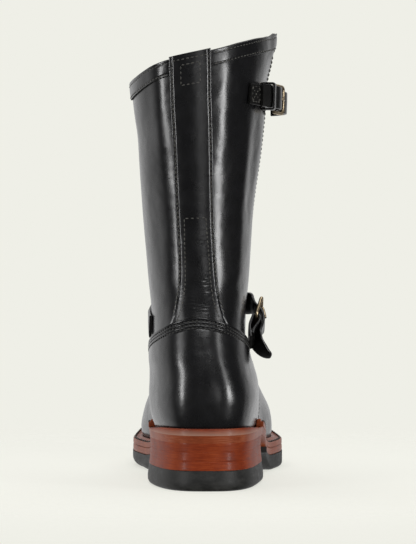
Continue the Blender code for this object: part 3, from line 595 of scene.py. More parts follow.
class Recipe(Nodes):
    """Nodes of one procedural material, built from Object coordinates."""

    def __init__(self, name: str) -> None:
        """Starts a material with its shader and its coordinates.

        Args:
            name: the material's name.
        """
        self.material = bpy.data.materials.new(name)
        self.material.use_nodes = True
        super().__init__(self.material.node_tree)
        self.shader = self.tree.nodes["Principled BSDF"]
        self.place = self.add("TexCoord").outputs["Object"]

    def surface(self, **inputs: Socket | float | tuple) -> None:
        """Fills the shader's own inputs."""
        self.fill(self.shader, **inputs)

    def stretched(self, scale: Triple) -> Socket:
        """Coordinates scaled along the three axes."""
        return self.add("Mapping", Scale=scale, Vector=self.place).outputs["Vector"]

    def noise(self, size: float, detail: float = 4.0, rough: float = 0.55,
              place: Socket | None = None) -> Socket:
        """Noise whose features are about `size` millimetres."""
        place = place or self.place
        return self.add("TexNoise", Scale=1.0 / (size * MM), Detail=detail, Roughness=rough,
                        Vector=place).outputs["Fac"]

    def cells(self, size: float) -> Socket:
        """Distance from the middle of small cells, as in leather grain.

        Args:
            size: their size in millimetres.

        Returns:
            The distance.
        """
        node = self.add("TexVoronoi", Scale=1.0 / (size * MM), Vector=self.place)
        node.feature = "SMOOTH_F1"
        return node.outputs["Distance"]

    def ranged(self, source: Socket, low: float, high: float,
               start: float = 0.3, end: float = 0.7) -> Socket:
        """Maps start..end of a value to low..high, held at both ends."""
        node = self.add("MapRange", Value=source, From_Min=start, From_Max=end, To_Min=low, To_Max=high)
        return node.outputs["Result"]

    def summed(self, first: Socket, second: Socket) -> Socket:
        """Two values added.

        Args:
            first: one value.
            second: the other.

        Returns:
            Their sum.
        """
        node = self.add("Math")
        self.link(first, node.inputs[0])
        self.link(second, node.inputs[1])
        return node.outputs["Value"]

    def colours(self, source: Socket, stops: Sequence[tuple[float, Triple]]) -> Socket:
        """A colour ramp.

        Args:
            source: the value that runs along it.
            stops: pairs of place and colour.

        Returns:
            The colour.
        """
        node = self.add("ValToRGB", Fac=source)
        ramp = node.color_ramp
        for element, (at, colour) in zip(ramp.elements, (stops[0], stops[-1])):
            element.position = at
            element.color = (*colour, 1.0)
        for at, colour in stops[1:-1]:
            ramp.elements.new(at).color = (*colour, 1.0)
        return node.outputs["Color"]

    def mixed(self, share: Socket, first: Socket, second: Triple) -> Socket:
        """A colour mixed towards a plain one.

        Args:
            share: how much of the plain colour there is.
            first: the colour at zero.
            second: the plain colour.

        Returns:
            The mixed colour.
        """
        node = self.add("Mix", Factor=share)
        node.data_type = "RGBA"
        self.link(first, node.inputs[6])
        node.inputs[7].default_value = (*second, 1.0)
        return node.outputs[2]

    def edges(self, start: float, end: float) -> Socket:
        """One on worn outer edges and zero elsewhere."""
        return self.ranged(self.add("NewGeometry").outputs["Pointiness"], 0.0, 1.0, start, end)

    def bumped(self, height: Socket, depth: float) -> None:
        """Adds fine relief to the surface.

        Args:
            height: the relief.
            depth: how deep it is, in millimetres.
        """
        node = self.add("Bump", Strength=1.0, Distance=depth * MM, Height=height)
        for under in self.shader.inputs["Normal"].links:
            self.link(under.from_socket, node.inputs["Normal"])
        self.surface(Normal=node.outputs["Normal"])


@dataclass(frozen=True)
class LeatherFinish:
    """Smooth or soft leather with fine grain, wrinkles, worn edges and a waxed or dry surface."""

    name: str
    colour: Triple
    shade: Triple
    edge: Triple
    rough_low: float
    rough_high: float
    grain: float = 0.7
    depth: float = 0.035
    coat: float = 0.0
    coat_rough: float = 0.2
    specular: float = 0.5
    sheen: float = 0.0
    waves: tuple[tuple[float, float], ...] = ()

    def build(self) -> Material:
        """Makes the material.

        Returns:
            The material.
        """
        r = Recipe(self.name)
        colour = r.colours(r.noise(9.0, 5.0), ((0.35, self.shade), (0.68, self.colour)))
        r.surface(Base_Color=r.mixed(r.edges(0.56, 0.68), colour, self.edge),
                  Roughness=r.ranged(r.noise(14.0, 6.0, 0.6), self.rough_low, self.rough_high),
                  Coat_Weight=self.coat, Coat_Roughness=self.coat_rough,
                  Specular_IOR_Level=self.specular, Sheen_Weight=self.sheen)
        grain = r.summed(r.cells(self.grain), r.noise(self.grain * 3.5, 6.0, 0.62))
        for size, depth in self.waves:
            r.bumped(r.noise(size, 2.0), depth)
        r.bumped(grain, self.depth)
        return r.material


@dataclass(frozen=True)
class EdgeFinish:
    """Stacked and burnished sole leather, with fine level layers and a waxed face."""

    name: str
    dark: Triple
    middle: Triple
    light: Triple
    rough: float = 0.3
    coat: float = 0.5
    layer: float = 0.9
    edge: Triple = (0.5, 0.36, 0.28)
    flatness: float = 14.0

    def build(self) -> Material:
        """Makes the material.

        Returns:
            The material.
        """
        r = Recipe(self.name)
        flat = r.stretched((1.0, 1.0, self.flatness))
        layers = r.noise(self.layer * self.flatness, 7.0, 0.62, flat)
        patches = r.noise(16.0, 3.0)
        tone = r.summed(r.ranged(layers, 0.0, 0.6, 0.28, 0.72), r.ranged(patches, 0.0, 0.4, 0.3, 0.7))
        colour = r.colours(tone, ((0.1, self.dark), (0.5, self.middle), (0.95, self.light)))
        r.surface(Base_Color=r.mixed(r.edges(0.57, 0.66), colour, self.edge),
                  Roughness=r.ranged(layers, self.rough, self.rough + 0.14),
                  Coat_Weight=self.coat, Coat_Roughness=0.2, Specular_IOR_Level=0.22)
        r.bumped(layers, 0.035)
        return r.material


@dataclass(frozen=True)
class RubberFinish:
    """Black moulded rubber with a faint scuffed bloom."""

    name: str
    colour: Triple = (0.012, 0.012, 0.011)
    bloom: Triple = (0.034, 0.033, 0.031)

    def build(self) -> Material:
        """Makes the material.

        Returns:
            The material.
        """
        r = Recipe(self.name)
        scuff = r.noise(7.0, 8.0, 0.7, r.stretched((1.0, 1.0, 2.4)))
        r.surface(Base_Color=r.colours(scuff, ((0.42, self.colour), (0.75, self.bloom))),
                  Roughness=r.ranged(scuff, 0.44, 0.66), Specular_IOR_Level=0.45)
        r.bumped(r.summed(r.noise(0.5, 3.0), r.noise(3.0, 4.0)), 0.06)
        return r.material


@dataclass(frozen=True)
class MetalFinish:
    """Aged metal: bright where rubbed and dark in its hollows."""

    name: str
    bright: Triple
    aged: Triple
    rough: float = 0.28

    def build(self) -> Material:
        """Makes the material.

        Returns:
            The material.
        """
        r = Recipe(self.name)
        tarnish = r.noise(2.2, 6.0, 0.6)
        colour = r.colours(tarnish, ((0.36, self.aged), (0.62, self.bright)))
        r.surface(Base_Color=r.mixed(r.edges(0.52, 0.6), colour, self.bright),
                  Roughness=r.ranged(tarnish, self.rough + 0.18, self.rough), Metallic=1.0)
        r.bumped(r.noise(0.35, 4.0), 0.02)
        return r.material


@dataclass(frozen=True)
class ThreadFinish:
    """Waxed thread with the lay of its strands."""

    name: str
    colour: Triple
    shade: Triple

    def build(self) -> Material:
        """Makes the material.

        Returns:
            The material.
        """
        r = Recipe(self.name)
        r.surface(Base_Color=r.colours(r.noise(1.6, 3.0), ((0.35, self.shade), (0.65, self.colour))),
                  Roughness=r.ranged(r.noise(0.8), 0.45, 0.6), Sheen_Weight=0.15)
        r.bumped(r.noise(0.22, 2.0), 0.04)
        return r.material


def made_by(finish: LeatherFinish | EdgeFinish | RubberFinish | MetalFinish | ThreadFinish) -> Material:
    """A field whose material is made together with the whole set of finishes."""
    return field(default_factory=finish.build)


@dataclass(frozen=True)
class Finishes:
    """Every finish of the boot, made once."""

    black: Material = made_by(LeatherFinish(
        "black_leather", (0.0085, 0.0085, 0.0095), (0.0055, 0.0055, 0.006), (0.02, 0.02, 0.021),
        0.24, 0.32, grain=0.55, depth=0.012, coat=0.3, waves=((24.0, 1.1), (5.0, 0.055))))
    soft: Material = made_by(LeatherFinish(
        "soft_black_leather", (0.012, 0.012, 0.013), (0.007, 0.007, 0.0075), (0.03, 0.03, 0.03),
        0.38, 0.52, grain=0.9, depth=0.06))
    strap: Material = made_by(LeatherFinish(
        "strap_leather", (0.0075, 0.007, 0.0068), (0.005, 0.0048, 0.0045), (0.022, 0.021, 0.019),
        0.3, 0.42, grain=0.6, depth=0.02, coat=0.2))
    raw: Material = made_by(LeatherFinish(
        "raw_edge", (0.05, 0.05, 0.044), (0.022, 0.022, 0.02), (0.11, 0.11, 0.095),
        0.55, 0.75, grain=0.3, depth=0.08))
    lining: Material = made_by(LeatherFinish(
        "lining_leather", (0.055, 0.048, 0.04), (0.035, 0.03, 0.026), (0.09, 0.08, 0.066),
        0.6, 0.8, grain=0.8, depth=0.09, sheen=0.25))
    insole: Material = made_by(LeatherFinish(
        "insole_leather", (0.44, 0.29, 0.17), (0.33, 0.2, 0.11), (0.5, 0.35, 0.22),
        0.5, 0.7, grain=0.6, depth=0.06))
    stack: Material = made_by(EdgeFinish(
        "stacked_leather", (0.12, 0.013, 0.001), (0.195, 0.024, 0.002), (0.285, 0.048, 0.007),
        rough=0.44, coat=0.08, layer=0.7))
    sole: Material = made_by(EdgeFinish(
        "sole_leather", (0.14, 0.022, 0.004), (0.225, 0.042, 0.01), (0.33, 0.1, 0.045),
        rough=0.38, coat=0.12, layer=0.5))
    rubber: Material = made_by(RubberFinish("sole_rubber"))
    brass: Material = made_by(MetalFinish(
        "aged_brass", (0.62, 0.5, 0.33), (0.2, 0.15, 0.09)))
    # Painted highlight: the black thread is coloured grey-brown, lighter than black, so its stitches show as
    # light dashes where glints would be.
    thread: Material = made_by(ThreadFinish(
        "thread_painted_glint", (0.105, 0.1, 0.085), (0.05, 0.048, 0.042)))
    # Painted shade: a darker copy of the same thread for the counter's rows, standing in for the shade in
    # their stitch holes.
    thread_painted_hole_shade: Material = made_by(ThreadFinish(
        "thread_painted_hole_shade", (0.04, 0.038, 0.034), (0.016, 0.016, 0.015)))
    welt_thread: Material = made_by(ThreadFinish(
        "welt_thread", (0.06, 0.03, 0.02), (0.02, 0.012, 0.01)))

    @property
    def overlay(self) -> list[Material]:
        """Finishes of face, back and rim of a leather laid on the upper."""
        return [self.black, self.soft, self.raw]


def grid_of(points: Array) -> Mesh:
    """A sheet of faces through a grid of places in millimetres.

    Args:
        points: places as an array of rows, columns and three coordinates.

    Returns:
        The sheet, in metres. Its front looks along columns x rows.
    """
    rows, columns = points.shape[:2]
    bm = bmesh.new()
    bmesh.ops.create_grid(bm, x_segments=columns - 1, y_segments=rows - 1, size=1.0)
    for vert in bm.verts:
        j = round((vert.co.x + 1.0) / 2.0 * (columns - 1))
        i = round((vert.co.y + 1.0) / 2.0 * (rows - 1))
        vert.co = Vector(points[i, j]) * MM
    return bm


def solid_of(rings: Array, closed: bool = False) -> Mesh:
    """A closed solid through rings of places. The rings' ends are capped unless the rings close up.

    Args:
        rings: the places, ring by ring.
        closed: whether the last ring joins the first.

    Returns:
        The solid, in metres.
    """
    wrapped = np.concatenate([rings, rings[:, :1]], axis=1)
    if closed:
        wrapped = np.concatenate([wrapped, wrapped[:1]])
    bm = grid_of(wrapped)
    bmesh.ops.remove_doubles(bm, verts=bm.verts, dist=1e-7)
    rims = [e for e in bm.edges if e.is_boundary]
    if rims:
        bmesh.ops.holes_fill(bm, edges=rims, sides=0)
    bmesh.ops.recalc_face_normals(bm, faces=bm.faces)
    return bm


def plate_of(loops: Sequence[Array]) -> Mesh:
    """A closed plate from stacked loops whose point j lies across from the j-th point from the end.

    Args:
        loops: the loops, from the lowest up.

    Returns:
        The plate, in metres.
    """
    loops = list(loops)
    below, above = ((loop + loop[::-1]) / 2.0 for loop in (loops[0], loops[-1]))
    quarter = [loops[0] * 0.5 + below * 0.5, loops[-1] * 0.5 + above * 0.5]
    rings = np.stack([below, quarter[0], *loops, quarter[1], above])
    bm = grid_of(np.concatenate([rings, rings[:, :1]], axis=1))
    bmesh.ops.remove_doubles(bm, verts=bm.verts, dist=1e-6)
    bmesh.ops.recalc_face_normals(bm, faces=bm.faces)
    return bm


def new_piece(name: str, bm: Mesh, materials: Sequence[Material],
              replaces: Sequence[str] = (), sharp: float = 40.0) -> Piece:
    """Puts a finished mesh in the scene, riding on the boot.

    Args:
        name: the piece's name.
        bm: its mesh, in metres, which is freed.
        materials: finishes of its face, its back and its rim.
        replaces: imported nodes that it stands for.
        sharp: angle in degrees past which an edge stays crisp.

    Returns:
        The object.
    """
    mesh = bpy.data.meshes.new(name)
    bm.to_mesh(mesh)
    bm.free()
    mesh.shade_smooth()
    mesh.set_sharp_from_angle(angle=math.radians(sharp))
    for made in materials:
        mesh.materials.append(made)
    piece = bpy.data.objects.new(name, mesh)
    bpy.context.scene.collection.objects.link(piece)
    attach(piece, BODY)
    if replaces:
        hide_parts(*replaces)
    LOG.info("%s: %d faces", name, len(mesh.polygons))
    return piece


def thickened(piece: Piece, thickness: float, rounding: float = 0.3) -> Piece:
    """Gives a sheet its leather's thickness, inwards, with rounded cut edges.

    Args:
        piece: the sheet.
        thickness: how thick it gets.
        rounding: width of the rounded edges.

    Returns:
        The same piece.
    """
    wall = piece.modifiers.new("thickness", "SOLIDIFY")
    wall.thickness = thickness * MM
    wall.offset = -1.0
    wall.use_even_offset = True
    last = len(piece.data.materials) - 1
    wall.material_offset = min(1, last)
    wall.material_offset_rim = min(2, last)
    rounded(piece, rounding)
    return piece


def rounded(piece: Piece, width: float, segments: int = 2) -> Piece:
    """Rounds a piece's crisp edges.

    Args:
        piece: the piece.
        width: how wide the rounding is.
        segments: steps across it.

    Returns:
        The same piece.
    """
    edge = piece.modifiers.new("edges", "BEVEL")
    edge.width = width * MM
    edge.segments = segments
    edge.limit_method = "ANGLE"
    edge.angle_limit = math.radians(40.0)
    edge.profile = 0.5
    return piece


@dataclass(frozen=True)
class Thread:
    """A row of stitches: thread radius, stitch length and pitch."""

    radius: float = 0.42
    length: float = 2.2
    pitch: float = 2.9
    sunk: float = 0.0

    def sew(self, bm: Mesh, line: Array, outs: Array) -> None:
        """Adds stitches along a line of places.

        Args:
            bm: the mesh that takes them.
            line: places along the seam.
            outs: the outward direction at each place.
        """
        lengths = lengths_along(line)
        count = max(int(lengths[-1] / self.pitch), 1)
        for k in range(count):
            at = (k + 0.5) * lengths[-1] / count
            half = self.length / 2.0
            start, end = (Vector(along_line(line, lengths, at + d)) for d in (-half, half))
            out = Vector(along_line(outs, lengths, at)).normalized()
            along = (end - start).normalized()
            across = out.cross(along).normalized()
            centre = (start + end) / 2.0 - out * self.sunk
            turn = Matrix((along, across, along.cross(across))).transposed().to_4x4()
            size = Matrix.Diagonal((self.length / 2.0, self.radius, self.radius, 1.0))
            scale = Matrix.Diagonal((MM, MM, MM, 1.0))
            bmesh.ops.create_uvsphere(bm, u_segments=6, v_segments=4, radius=1.0,
                                      matrix=scale @ Matrix.Translation(centre) @ turn @ size)


@dataclass
class Workshop:
    """What every sub-assembly is built with."""

    form: BootForm
    sole: SoleProfile
    finishes: Finishes

    def sheet(self, name: str, counts: tuple[int, int], where: Place, out: Rise | float,
              materials: Sequence[Material], thickness: float, replaces: Sequence[str],
              closed: bool = False) -> Piece:
        """A piece of leather on the upper.

        Args:
            name: the piece's name.
            counts: faces across and up.
            where: gives rows and columns of the upper for shares across and up.
            out: how far its face stands off the upper, over the same shares.
            materials: finishes of face, back and rim.
            thickness: the leather's thickness.
            replaces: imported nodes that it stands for.
            closed: whether its two side edges meet where they touch.

        Returns:
            The object.
        """
        a, b = np.meshgrid(np.linspace(0.0, 1.0, counts[0] + 1), np.linspace(0.0, 1.0, counts[1] + 1))
        v, u = where(a, b)
        height = out(a, b) if callable(out) else out
        bm = grid_of(self.form.at(v, u, height))
        if closed:
            bmesh.ops.remove_doubles(bm, verts=bm.verts, dist=2e-5)
        return thickened(new_piece(name, bm, materials, replaces), thickness)

    def seam(self, name: str, lines: Sequence[Line], slot: str, thread: Thread = Thread(),
             material: Material | None = None) -> Piece:
        """Stitches along lines on the upper.

        Args:
            name: the piece's name.
            lines: rows, columns and distance off the upper of each line.
            slot: not used.
            thread: the row of stitches.
            material: the thread's finish, or none for the usual one.

        Returns:
            The object.
        """
        bm = bmesh.new()
        for v, u, out in lines:
            thread.sew(bm, self.form.at(v, u, out), self.form.at(v, u, 1.0) - self.form.at(v, u, 0.0))
        # The usual thread is coloured lighter than black, which paints its glints into it.
        return new_piece(name, bm, [material or self.finishes.thread], sharp=180.0)


@dataclass
class Shaft:
    """The hollow wall of the upper with the slit, its gusset and the pull loop."""

    shop: Workshop
    wall: float = 2.2
    slit_u: float = 0.275
    slit_foot_z: float = 186.0
    mouth_half: float = 4.0
    foot_half: float = 1.0
    gusset: float = 1.2
    loop_width: float = 9.5
    loop_layer: float = 1.6

    def slit_half(self, v: Array) -> Array:
        """Half width of the slit at rows v, as a share of the ring.

        Args:
            v: rows.

        Returns:
            The half widths.
        """
        form = self.shop.form
        foot = form.row_at(self.slit_u, self.slit_foot_z)
        share = (v - foot) / (TOP_ROW - foot)
        half = self.foot_half + (self.mouth_half - self.foot_half) * np.clip(share, 0.0, 1.0)
        opened = smooth(share / 0.02)
        return half * opened / form.ring_length(v)

    def build(self) -> None:
        """Makes the wall, the gusset and the pull loop."""
        shop, made, form = self.shop, self.shop.finishes, self.shop.form

        def around(a: Array, b: Array) -> tuple[Array, Array]:
            """The wall, from one edge of the slit round to the other."""
            half = self.slit_half(TOP_ROW * b**0.9)
            u = self.slit_u + half + (1.0 - 2.0 * half) * a
            return form.collar_row(u) * b**0.9, u

        shop.sheet("shaft", (220, 150), around, 0.0, [made.black, made.lining, made.raw], self.wall,
                   ["upper"], closed=True)
        half = (self.mouth_half + 6.0) / float(shop.form.ring_length(TOP_ROW))
        foot = float(shop.form.row_at(self.slit_u, self.slit_foot_z - 8.0))

        def behind(a: Array, b: Array) -> tuple[Array, Array]:
            """The gusset, across the slit and past both its edges."""
            return foot + (TOP_ROW - 0.15 - foot) * b, self.slit_u + half * (2.0 * a - 1.0)

        def pleat(a: Array, b: Array) -> Array:
            """The gusset's fold, which deepens towards the collar."""
            return -self.wall - 0.5 - 1.6 * b * hump(a - 0.5, 0.2)

        shop.sheet("slit_gusset", (24, 60), behind, pleat, [made.soft], self.gusset, ["gusset"])
        self._pull_loop()
        self._edge_seam()

    def _pull_loop(self) -> None:
        """The folded strap inside the back of the collar."""
        form = self.shop.form
        path = np.array([(17.0, 0.0), (14.0, 0.0), (11.0, 0.2), (8.0, 2.6), (3.0, 6.0), (-8.0, 8.0),
                         (-19.0, 7.6), (-24.5, 4.6), (-25.0, 2.0), (-21.0, 0.2), (-12.0, 0.0), (-2.0, 0.0)])
        path = through(path, 5)
        top = TOP_ROW - 1.6
        per_row = form.frame_at(top, 0.0)[2][2]
        steps = unit(np.gradient(path, axis=0))
        rings = []
        for across, side in rounded_section(self.loop_width, self.loop_layer):
            v = top + (path[:, 0] - steps[:, 1] * side) / per_row
            u = across / float(form.ring_length(top))
            inward = self.wall + 0.5 + self.loop_layer / 2.0 + path[:, 1] + steps[:, 0] * side
            rings.append(form.at(v, u, -inward, Relief.PLAIN))
        bm = solid_of(np.stack(rings, axis=1))
        new_piece("pull_strap", bm, [self.shop.finishes.strap], ["pull_loop"])

    def _edge_seam(self) -> None:
        """Stitches beside both edges of the slit, and the bar tack at its foot."""
        form = self.shop.form
        foot = float(form.row_at(self.slit_u, self.slit_foot_z - 3.0))
        v = np.linspace(foot, TOP_ROW - 0.9, 80)
        lines = []
        for sign in (1.0, -1.0):
            u = self.slit_u + sign * (self.slit_half(v) + 2.2 / form.ring_length(v))
            lines.append((v, u, 0.05))
        for k in range(4):
            row = np.full(8, foot - 0.02 - 0.03 * k)
            span = np.linspace(-3.0, 3.0, 8) / form.ring_length(row)
            lines.append((row, self.slit_u + span, 0.1))
        self.shop.seam("slit_stitching", lines, "upper")


def through(points: Array, steps: int) -> Array:
    """A smooth line through points, with `steps` places to each stretch.

    Args:
        points: the points.
        steps: places to each stretch.

    Returns:
        The line's places.
    """
    points = np.asarray(points, float)
    padded = np.concatenate([2.0 * points[:1] - points[1:2], points, 2.0 * points[-1:] - points[-2:-1]])
    places = []
    for p0, p1, p2, p3 in zip(padded, padded[1:], padded[2:], padded[3:]):
        places += [spline(p0, p1, p2, p3, t) for t in np.arange(steps) / steps]
    places.append(points[-1])
    return np.array(places)


def rounded_section(width: float, thickness: float, crown: float = 0.12) -> list[tuple[float, float]]:
    """Places round a strap's section, with soft corners and slightly crowned faces.

    Args:
        width: the strap's width.
        thickness: its thickness.
        crown: how far its faces rise, as a share.

    Returns:
        The places, as pairs across and off the strap.
    """
    half, deep = width / 2.0, thickness / 2.0
    top = [(-1.0, 0.35), (-0.98, 0.75), (-0.92, 0.97), (-0.8, 1.0), (0.0, 1.0 + crown),
           (0.8, 1.0), (0.92, 0.97), (0.98, 0.75), (1.0, 0.35)]
    both = top + [(a, -b) for a, b in reversed(top)]
    return [(a * half, b * deep) for a, b in both]


@dataclass
class LowerLeathers:
    """Counter and vamp, with their raised and stitched top edges."""

    shop: Workshop
    face: float = 1.95
    thickness: float = 1.5
    side_seam: float = 0.17
    foot_row: float = 0.2
    rows: tuple[float, ...] = (1.9, 4.2, 6.6)
    bead: float = 2.75

    def _sheet(self, name: str, start: float, end: float, node: str, cells: int) -> None:
        """One overlay between two columns.

        Args:
            name: the piece's name.
            start: its first column.
            end: its last column.
            node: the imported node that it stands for.
            cells: faces across it.
        """
        form = self.shop.form

        def where(a: Array, b: Array) -> tuple[Array, Array]:
            """From one side seam to the other, with finer rows towards the top edge."""
            u = start + (end - start) * a
            share = 1.0 - (1.0 - b) ** 1.6
            return self.foot_row + (form.seam_row(u) - self.foot_row) * share, u

        def out(a: Array, b: Array) -> Array:
            """The face, puffed between its rows of stitches and drawn in at each stitch.

            Args:
                a: shares across.
                b: shares up.

            Returns:
                Its heights.
            """
            v, u = where(a, b)
            drop = np.abs(form.at(form.seam_row(u), u)[..., 2] - form.at(v, u)[..., 2])
            grooves = sum(hump(drop - row, 0.55) for row in self.rows)
            puff = 0.35 * hump(drop - 0.4, 1.1) + 0.4 * hump(drop - 3.1, 1.2) + 0.3 * hump(drop - 5.4, 1.0)
            ends = np.minimum(a, 1.0 - a) * abs(end - start) * form.ring_length(v)
            side = sum(hump(ends - row, 0.55) for row in (1.8, 4.0))
            arc = (start + (end - start) * a) * form.ring_length(v)
            beads = sum(hump(drop - row, 0.8) * np.cos(2.0 * np.pi * (arc / self.bead + row))
                        for row in self.rows)
            return self.face + puff - 0.5 * grooves - 0.4 * side + 0.2 * beads

        self.shop.sheet(name, (cells, 90), where, out, self.shop.finishes.overlay, self.thickness, [node])

    def build(self) -> None:
        """Makes both overlays and their stitching."""
        gap = 0.001
        self._sheet("heel_counter", -self.side_seam + gap, self.side_seam - gap, "counter", 150)
        self._sheet("vamp_leather", self.side_seam + gap, 1.0 - self.side_seam - gap, "vamp", 200)
        form = self.shop.form
        u = np.linspace(0.0, 1.0, 500)
        lines = []
        for drop in self.rows:
            z = form.at(form.seam_row(u), u)[..., 2] - drop
            lines.append((form.row_at(u, z), u, self.face - 0.1))
        for sign in (1.0, -1.0):
            for inset in (1.8, 4.0):
                top = float(form.seam_row(sign * self.side_seam)) - 0.6
                v = np.linspace(0.5, top, 60)
                side = sign * self.side_seam - sign * (0.4 + inset) / form.ring_length(v)
                lines.append((v, side, self.face - 0.1))
        # These rows take the darker thread, whose colour paints the shade of the stitch holes.
        self.shop.seam("lower_stitching", lines, "counter", Thread(radius=0.45, length=2.0, pitch=self.bead),
                       self.shop.finishes.thread_painted_hole_shade)


@dataclass(frozen=True)
class Ripple:
    """Waves of fine wrinkles, by how tightly they and their sway repeat up and across."""

    up: float
    across: float
    sway: float
    sway_up: float
    sway_across: float
    height: float = 1.0

    def at(self, z: Array, across: Array) -> Array:
        """Height of the waves at heights z and places across."""
        sway = self.sway * np.sin(z * self.sway_up + across * self.sway_across)
        return self.height * np.sin(z * self.up + across * self.across + sway)


@dataclass
class BackStay:
    """The strip up the back, its stitching and the stitched box of the pull loop."""

    shop: Workshop
    face: float = 1.5
    thickness: float = 1.2
    proud: float = 1.5
    inset: float = 1.6
    inner: Pairs = ((104.0, 15.5), (112.0, 13.2), (122.0, 9.8), (135.0, 8.0), (178.0, 6.8))
    wrinkle: float = 0.12
    ripples: tuple[Ripple, ...] = (Ripple(2.1, 4.0, 1.6, 0.31, 2.0), Ripple(3.3, -6.0, 1.9, 0.47, -3.0, 0.8))

    def half(self, v: Array) -> Array:
        """Half width of the strip at rows v."""
        return eased(STAY_ROWS, self.shop.form.at(v, 0.0 * v, relief=Relief.PLAIN)[..., 2])

    def build(self) -> None:
        """Makes the strip and everything sewn on it."""
        form = self.shop.form
        foot = float(form.seam_row(0.0)) + 0.05
        proud_rows = self.proud / form.frame_at(TOP_ROW, 0.0)[2][2]
        last = TOP_ROW + proud_rows

        def where(a: Array, b: Array) -> tuple[Array, Array]:
            """Across the strip, and from the counter's seam to a little over the collar.

            Args:
                a: shares across.
                b: shares up.

            Returns:
                Rows and columns.
            """
            v = foot + (last - foot) * b
            flat = np.minimum(v, TOP_ROW)
            u = (2.0 * a - 1.0) * self.half(flat) / form.ring_length(flat)
            start = form.seam_row(u) + 0.05
            return start + (last - start) * b, u

        def out(a: Array, b: Array) -> Array:
            """The face, drawn in along its stitches, with its wrinkles.

            Args:
                a: shares across.
                b: shares up.

            Returns:
                Its heights.
            """
            v, _ = where(a, b)
            flat = np.minimum(v, TOP_ROW)
            edge = (1.0 - np.abs(2.0 * a - 1.0)) * self.half(flat)
            wrinkles = self._wrinkles(a, flat)
            return self.face - 0.45 * hump(edge - self.inset, 0.6) - 0.25 * hump(edge, 0.5) + wrinkles

        self.shop.sheet("back_strip", (64, 400), where, out, self.shop.finishes.overlay, self.thickness,
                        ["back_stay"])
        self._sew(foot)

    def _wrinkles(self, a: Array, v: Array) -> Array:
        """Fine creases that run out from the strip's middle above the heel, deepest on its outer half.

        Args:
            a: shares across the strip.
            v: rows.

        Returns:
            Their heights.
        """
        z = self.shop.form.at(v, 0.0 * v, relief=Relief.PLAIN)[..., 2]
        across = 2.0 * a - 1.0
        ripple = sum(wave.at(z, across) for wave in self.ripples)
        ripple = ripple * (0.55 + 0.45 * np.sin(z * 0.23 + across * 5.0))
        tall = smooth((z - 112.0) / 12.0) * smooth((182.0 - z) / 40.0)
        wide = 0.45 + 0.55 * smooth((across + 0.1) / 0.5)
        return self.wrinkle * ripple * tall * wide * hump(np.abs(across) - 0.5, 0.42)

    def _sew(self, foot: float) -> None:
        """Stitches along both edges, the reinforcement inside them and the box near the top.

        Args:
            foot: row of the strip's lower end.
        """
        form = self.shop.form
        v = np.linspace(foot + 0.15, TOP_ROW - 0.12, 300)
        lines = []
        for sign in (1.0, -1.0):
            lines.append((v, sign * (self.half(v) - self.inset) / form.ring_length(v), self.face - 0.15))
        heights = np.linspace(self.inner[0][0] + 5.0, self.inner[-1][0], 80)
        inner = form.row_at(0.0 * heights, heights)
        inner_half = eased(self.inner, heights) / form.ring_length(inner)
        for sign in (1.0, -1.0):
            lines.append((inner, sign * inner_half, self.face))
        lines.append((inner[-1], np.linspace(-1.0, 1.0, 12) * inner_half[-1], self.face))
        rim = np.full(24, TOP_ROW - 0.12)
        edge = (self.half(rim) - self.inset) / form.ring_length(rim)
        lines.append((rim, np.linspace(-1.0, 1.0, 24) * edge, self.face))
        lines += self._box(272.0, 6.2, 6.6)
        self.shop.seam("back_stitching", lines, "back_stay")

    def _box(self, z: float, half_wide: float, half_high: float) -> list[Line]:
        """Four sides of a box of stitches round a place on the back centre.

        Args:
            z: its height.
            half_wide: half the box's width.
            half_high: half the box's height.

        Returns:
            The lines.
        """
        form = self.shop.form
        corners = [(-1, -1), (1, -1), (1, 1), (-1, 1), (-1, -1)]
        lines = []
        for (x0, y0), (x1, y1) in zip(corners, corners[1:]):
            t = np.linspace(0.0, 1.0, 10)
            height = z + half_high * (y0 + (y1 - y0) * t)
            v = form.row_at(0.0 * t, height)
            u = half_wide * (x0 + (x1 - x0) * t) / form.ring_length(v)
            lines.append((v, u, self.face))
        return lines


@dataclass
class CollarBands:
    """The strip of leather round the collar, in front of and behind the slit."""

    shop: Workshop
    shaft: Shaft
    stay: BackStay
    face: float = 1.3
    thickness: float = 1.0
    height: float = 10.5

    def build(self) -> None:
        """Makes both strips and their two rows of stitches."""
        form = self.shop.form
        edge = (float(self.stay.half(np.array(TOP_ROW))) + 0.3) / float(form.ring_length(TOP_ROW))
        slit = float(self.shaft.slit_half(np.array(TOP_ROW)))
        spans = {"collar_band_rear": (edge, self.shaft.slit_u - slit),
                 "collar_band_front": (self.shaft.slit_u + slit, 1.0 - edge)}
        for node, (start, end) in spans.items():
            def where(a: Array, b: Array) -> tuple[Array, Array]:
                """Along the strip, and from its lower edge to the collar's."""
                u = start + (end - start) * a
                low = self._row_over(u, 0.0)
                return low + (form.collar_row(u) - low) * b, u

            def out(a: Array, b: Array) -> Array:
                """The face, drawn in along both rows of stitches."""
                up = b * self.height
                return (self.face - 0.25 * hump(up - 1.3, 0.5) - 0.2 * hump(up - self.height + 2.0, 0.5)
                        + 0.12 * np.sin(np.pi * b))

            cells = int(abs(end - start) * 240) + 8
            self.shop.sheet(node.replace("collar_band", "band"), (cells, 26), where, out,
                            self.shop.finishes.overlay, self.thickness, [node])
            u = np.linspace(start + 0.006, end - 0.006, 160)
            lines = [(self._row_over(u, up), u, self.face - 0.12) for up in (1.3, self.height - 2.0)]
            self.shop.seam(node.replace("collar_band", "band_stitching"), lines, node)

    def _row_over(self, u: Array, up: float) -> Array:
        """Rows at columns u that lie `up` over the strip's lower edge."""
        form = self.shop.form
        return form.row_at(u, form.at(TOP_ROW, u)[..., 2] + form.collar_trim(u) - self.height + up)


